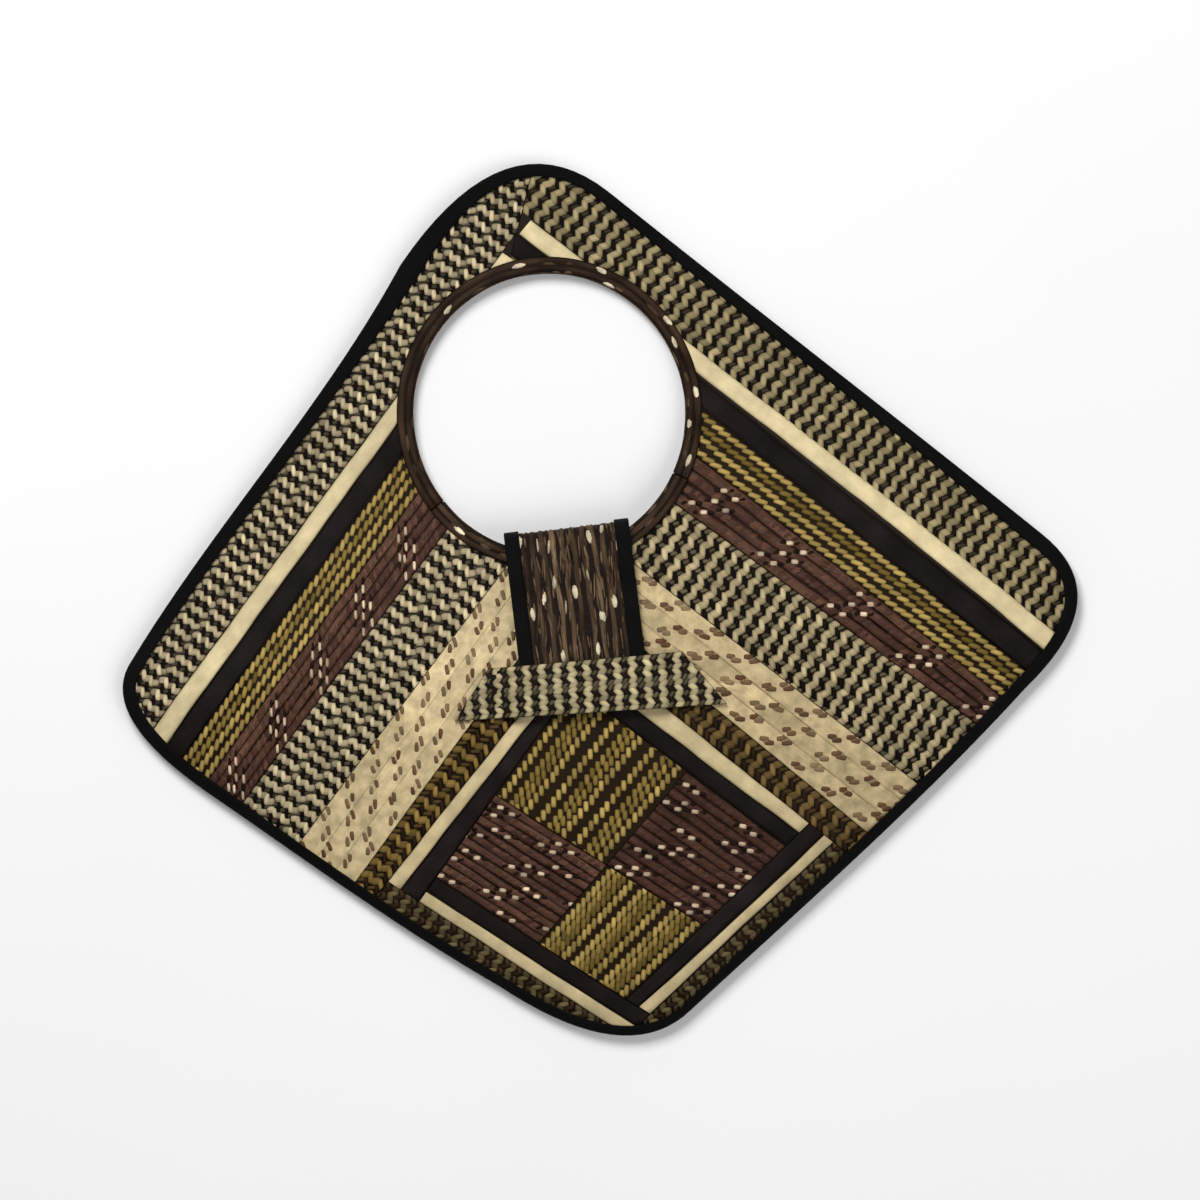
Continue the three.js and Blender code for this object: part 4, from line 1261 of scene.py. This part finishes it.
class RimSide(Band):
    """The wrapped edge of the hole: s runs round the hole, t over its profile from front to back."""

    def __init__(self, start, end, low, high, lifted_from):
        self.start_angle = start
        self.high = high
        self.lifted_from = lifted_from
        self.radius = (HOLE["radius_x"] + HOLE["radius_y"]) / 2
        self.start = 0.0
        self.end = math.radians(end - start) * self.radius
        leg = RIM_WIDTH - RIM_ROUND
        bend = RIM_ROUND * math.pi / 2
        self.legs = np.cumsum([leg, bend, high - low - 2 * RIM_ROUND, bend, leg])
        self.breadth = self.legs[-1]

    def profile(self, t, height):
        """Reach and level at a distance along the profile, and a height off it."""
        a, b, c, d, e = self.legs
        first = np.clip((t - a) / (b - a), 0, 1) * math.pi / 2
        second = np.clip((t - c) / (d - c), 0, 1) * math.pi / 2
        turn = first + second
        reach = RIM_WIDTH - np.clip(t, 0, a) - RIM_ROUND * np.sin(first)
        reach = reach + RIM_ROUND * (1 - np.cos(second)) + np.clip(t - d, 0, e - d)
        level = self.high - RIM_ROUND * (1 - np.cos(first)) - np.clip(t - b, 0, c - b)
        level = level - RIM_ROUND * np.sin(second)
        return reach - height * np.sin(turn), level + height * np.cos(turn)

    def face(self, s, t, height):
        reach, level = self.profile(t, height)
        angle = math.radians(self.start_angle) + s / self.radius
        plan = np.stack([HOLE["x"] + (HOLE["radius_x"] + reach) * np.cos(angle),
                         HOLE["y"] + (HOLE["radius_y"] + reach) * np.sin(angle)], axis=-1)
        lift = np.where(level > self.lifted_from, front_z(plan) - FRONT_TOP, 0)
        return raised(plan, np.maximum(level + lift, RIM_LOW))

    def core(self, tone):
        """The wrapped tape under the splints."""
        s = np.linspace(self.start + GAP, self.end - GAP, max(8, int((self.end - self.start) / 3)))[:, None]
        a, b, c, d, e = self.legs
        t = np.concatenate([[0], np.linspace(a, b, 4), np.linspace(c, d, 4), [e]])
        rings = np.concatenate([self.face(s, t, -RIM_RELIEF), self.face(s, t[::-1], -TAPE)], axis=1)
        return swept(rings, tone, rings)


RIM_RIBS = 6
RIM_STREAKS = 0.35     # to each millimetre of the rim
RIM_ENDS = 5           # degrees at each end of a part of the rim that carry no fleck
# Each part of the rim: where it starts and ends (degrees), its levels, and the level above which it is lifted
RIMS = dict(
    rim_upper=(MOUTH[1] - 360, MOUTH[0], RIM_LOW, RIM_HIGH, MIDWAY),
    rim_front=(MOUTH[0], MOUTH[1], LIP_LOW, RIM_HIGH, -math.inf),
    rim_back=(MOUTH[0], MOUTH[1], RIM_LOW, LIP_HIGH, math.inf),
)
# Flecks of the rim that show: the angle round the hole, and how far out from its edge (mm)
RIM_FLECKS = ((128.3, 2.7), (94.8, 4.9), (62.2, 5.8), (57.3, 1.2), (30.5, 6.0), (21.7, 3.0), (1.2, 5.6),
              (-11.0, 2.0), (-25.0, 4.9), (224.7, 4.5))
for node, (start, end, *levels) in RIMS.items():
    band = RimSide(start, end, *levels)
    lane = Lane(band)
    weave = strands(lane, RIM_RIBS, ("brown_dark", "brown"), crown=0.0, spread=0.25, across=ROUND_ACROSS,
                    sway=0.12, shade=0.6)
    count = int((band.end - band.start) * RIM_STREAKS)
    weave += streaks_on(lane, count, crown=0.04, width=2.4, lightest=0.9, lengths=(4, 10))
    places = [(math.radians(angle - start) * band.radius, (RIM_WIDTH - reach) / band.breadth, 1.0)
              for angle, reach in RIM_FLECKS if start + RIM_ENDS < angle < end - RIM_ENDS]
    if places and node != "rim_back":
        weave += flecks_on(lane, places, crown=0.22)
    add_piece(f"{node}_braid", [band.core("brown_ground")] + weave, "rim_braid", node)


# Closing tab

TAB_STEPS = 12     # from one point of its way to the next
TAB_RINGS = 90     # along the whole tab


def tab_level(on, y):
    """Level of the tab's middle over the back, at the lip of the mouth, or over the front."""
    if on == "back":
        return BACK_TOP + GAP + TAB_HALF
    if on == "lip":
        return front_z(np.array([TAB["x"], HOLE["y"] - HOLE["radius_y"]])) - WALL - TAPE
    return front_z(np.array([TAB["x"], y])) + GAP + TAB["clear"] + TAB_HALF


def tab_way():
    """Centre points of the tab as (y, z), on a smooth curve through its way."""
    nodes = np.array([(y, tab_level(on, y) + height) for y, on, height in TAB_WAY])
    padded = np.vstack([2 * nodes[0] - nodes[1], nodes, 2 * nodes[-1] - nodes[-2]])
    points = []
    t = np.linspace(0, 1, TAB_STEPS, endpoint=False)[:, None]
    for p0, p1, p2, p3 in zip(padded, padded[1:], padded[2:], padded[3:]):
        d0, d1, d2 = [math.sqrt(np.linalg.norm(b - a)) for a, b in ((p0, p1), (p1, p2), (p2, p3))]
        m1 = ((p1 - p0) / d0 - (p2 - p0) / (d0 + d1) + (p2 - p1) / d1) * d1
        m2 = ((p2 - p1) / d1 - (p3 - p1) / (d1 + d2) + (p3 - p2) / d2) * d1
        curve = p1 + m1 * t + (3 * (p2 - p1) - 2 * m1 - m2) * t ** 2
        points.append(curve + (2 * (p1 - p2) + m1 + m2) * t ** 3)
    return np.vstack(points + [nodes[-1:]])


TAB_POINTS = tab_way()
TAB_RUNS = arc_lengths(TAB_POINTS)
TAB_ALONG = unit(np.gradient(TAB_POINTS, axis=0))
TAB_STATIONS = np.linspace(0, TAB_RUNS[-1], TAB_RINGS)


def on_tab(s, x, height):
    """Points at a distance along the tab, a place across it and a height over its middle."""
    at = at_run(s, TAB_RUNS, TAB_POINTS)
    along = unit(at_run(s, TAB_RUNS, TAB_ALONG))
    y = at[..., 0] + along[..., 1] * height
    z = at[..., 1] - along[..., 0] * height
    return np.stack(np.broadcast_arrays(TAB["x"] + x, y, z), axis=-1)


class TabFace(Band):
    """The outer (1) or inner (-1) face of the tab: t runs across it from left to right."""

    def __init__(self, facing, half_width):
        self.facing = facing
        self.breadth = 2 * half_width
        self.start, self.end = 0.0, TAB_RUNS[-1]

    def face(self, s, t, height):
        return on_tab(s, t - self.breadth / 2, self.facing * (TAB["wall"] / 2 + height))


TAB_RIBS = 12
TAB_STREAKS = 420
TAB_RELIEF = 0.35
# Flecks on the face that shows: the distance back from the tip (mm), the place across, and the share of the
# full breadth
TAB_FLECKS = ((70.6, 0.03, 1.0), (74.9, 0.11, 0.9), (72.3, 0.25, 0.4), (71.1, 0.34, 0.5), (73.5, 0.68, 1.1),
              (76.6, 0.79, 0.8), (72.2, 0.95, 0.7), (68.6, 0.90, 0.5), (63.9, 0.92, 0.4), (54.6, 0.35, 0.9),
              (56.2, 0.63, 0.5), (47.8, 0.25, 0.9), (49.1, 0.51, 1.1), (42.7, 0.82, 1.1), (36.4, 0.71, 1.2),
              (41.1, 0.14, 1.0), (42.6, 0.42, 0.4), (34.3, 0.05, 0.8), (37.2, 0.96, 0.8), (32.3, 0.91, 0.5),
              (21.6, 0.64, 0.9), (20.1, 0.35, 0.9))
half = TAB["width"] / 2 - TAB["tape"] - TAB["clear"]
across = np.linspace(-half, half, 9)
thick = TAB["wall"] / 2 - TAB_RELIEF
stations = TAB_STATIONS[:, None]
rings = np.concatenate([on_tab(stations, across, thick), on_tab(stations, across[::-1], -thick)], axis=1)
shown_lane = Lane(TabFace(1, half))
weave = [swept(rings, "brown_ground", rings)]
for lane, shade in ((shown_lane, 0.3), (Lane(TabFace(-1, half)), 0.2)):
    weave += strands(lane, TAB_RIBS, ("brown", "brown_light"), crown=0.1, spread=0.25, across=PEAKED_ACROSS,
                     sway=0.5, step=2.0, shade=shade)
weave += streaks_on(shown_lane, TAB_STREAKS, crown=0.16, width=1.0, lightest=1.6, lengths=(6, 16))
places = [(TAB_RUNS[-1] - back, v, breadth) for back, v, breadth in TAB_FLECKS]
weave += flecks_on(shown_lane, places, crown=0.38)
add_piece("tab_braid_ribs", weave, "rim_braid", "tab_braid")

profile = tape_profile(TAB["tape_width"], -TAB_HALF, TAB_HALF, TAB["tape"], radius=0.7)
for side, sign in (("left", 1), ("right", -1)):
    rings = on_tab(stations, sign * (profile[:, 0] - TAB["width"] / 2), profile[:, 1])
    tape = swept(rings, "tape", tape_grains(TAB_STATIONS, profile))
    add_piece(f"tab_binding_{side}_tape", [tape], "black_tape", f"tab_binding_{side}")

# Back panel, plain braids sewn side by side

BACK = dict(x=-2.0, y=-13.0, slant=45.0, half_size=172.0, lanes=14, lane_gap=0.02)
BACK_BRAID = dict(columns=4, pitch=10.5, light="back_light", dark="back_dark", leans=(45, -45),
                  lengths=(10.9, 10.9), shares=((0.5, 0.5), (0.5, 0.5)), crowns=(0.1, 0.02), spread=0.08,
                  dim=1.0, haze=0.0, shape=COARSE)
frame_lines = []
for quarter in (-90, 0, 90, 180):
    turn = math.radians(BACK["slant"] + quarter)
    frame_lines.append(seam_at(BACK["x"] + BACK["half_size"] * math.cos(turn),
                               BACK["y"] + BACK["half_size"] * math.sin(turn), BACK["slant"] + quarter + 90))
strip = Strip(*frame_lines, level=back_z, facing=-1)
weave = []
for i in range(BACK["lanes"]):
    lane = Lane(strip, (i + BACK["lane_gap"]) / BACK["lanes"], (i + 1 - BACK["lane_gap"]) / BACK["lanes"])
    weave += zigzag(lane, **BACK_BRAID)
# The back's ground colour is a darker cream: painted shade in the gaps between its floats
add_strip("back_panel", strip, weave, "cream_cane", "back_gap_shade")

# Floor and lights, in metres, and the camera

FLOOR_HALF = 3.0
floor_mesh = bpy.data.meshes.new("floor")
floor_corners = [(-FLOOR_HALF, -FLOOR_HALF, 0), (FLOOR_HALF, -FLOOR_HALF, 0), (FLOOR_HALF, FLOOR_HALF, 0),
                 (-FLOOR_HALF, FLOOR_HALF, 0)]
floor_mesh.from_pydata(floor_corners, [], [(0, 1, 2, 3)])
floor = bpy.data.objects.new("floor", floor_mesh)
bpy.context.scene.collection.objects.link(floor)
floor_finish, floor_tree, floor_shader = new_material("floor_paper", roughness=0.9, specular=0.1)
floor_grey = mottled(floor_tree, low=0.92, high=0.95, scale=3.0, detail=2.0)
floor_tree.links.new(floor_grey, floor_shader.inputs["Base Color"])
floor_mesh.materials.append(floor_finish)

world = bpy.data.worlds.new("studio")
world.use_nodes = True
world.node_tree.nodes["Background"].inputs["Color"].default_value = (1.0, 1.0, 1.0, 1.0)
world.node_tree.nodes["Background"].inputs["Strength"].default_value = 0.22
bpy.context.scene.world = world
bpy.context.scene.view_settings.view_transform = "Standard"


def add_light(name, place, size, power):
    """A soft square light that faces the middle of the bag."""
    light = bpy.data.lights.new(name, "AREA")
    light.size = size
    light.energy = power
    lamp = bpy.data.objects.new(name, light)
    lamp.location = place
    lamp.rotation_euler = (-lamp.location).to_track_quat("-Z", "Y").to_euler()
    bpy.context.scene.collection.objects.link(lamp)


add_light("key", (-0.5, 1.35, 1.8), size=1.0, power=41.0)
add_light("fill", (1.2, -0.95, 1.8), size=1.8, power=20.0)

# The photo looks straight at the front, turned a little, and shows 545 mm across its 1200 pixels
PHOTO = dict(pixels=1200, pixels_per_mm=2.2, roll=-7.0, x=2.26, y=-0.71, level=10.0, distance=3000.0)
camera_data = bpy.data.cameras.new("camera")
camera_data.sensor_width = 36.0
camera_data.lens = camera_data.sensor_width * PHOTO["distance"] / (PHOTO["pixels"] / PHOTO["pixels_per_mm"])
camera_data.clip_end = 50.0
camera = bpy.data.objects.new("camera", camera_data)
camera.location = (PHOTO["x"] * MM, PHOTO["y"] * MM, (PHOTO["level"] + PHOTO["distance"]) * MM)
camera.rotation_euler = (0.0, 0.0, math.radians(PHOTO["roll"]))
bpy.context.scene.collection.objects.link(camera)
bpy.context.scene.camera = camera
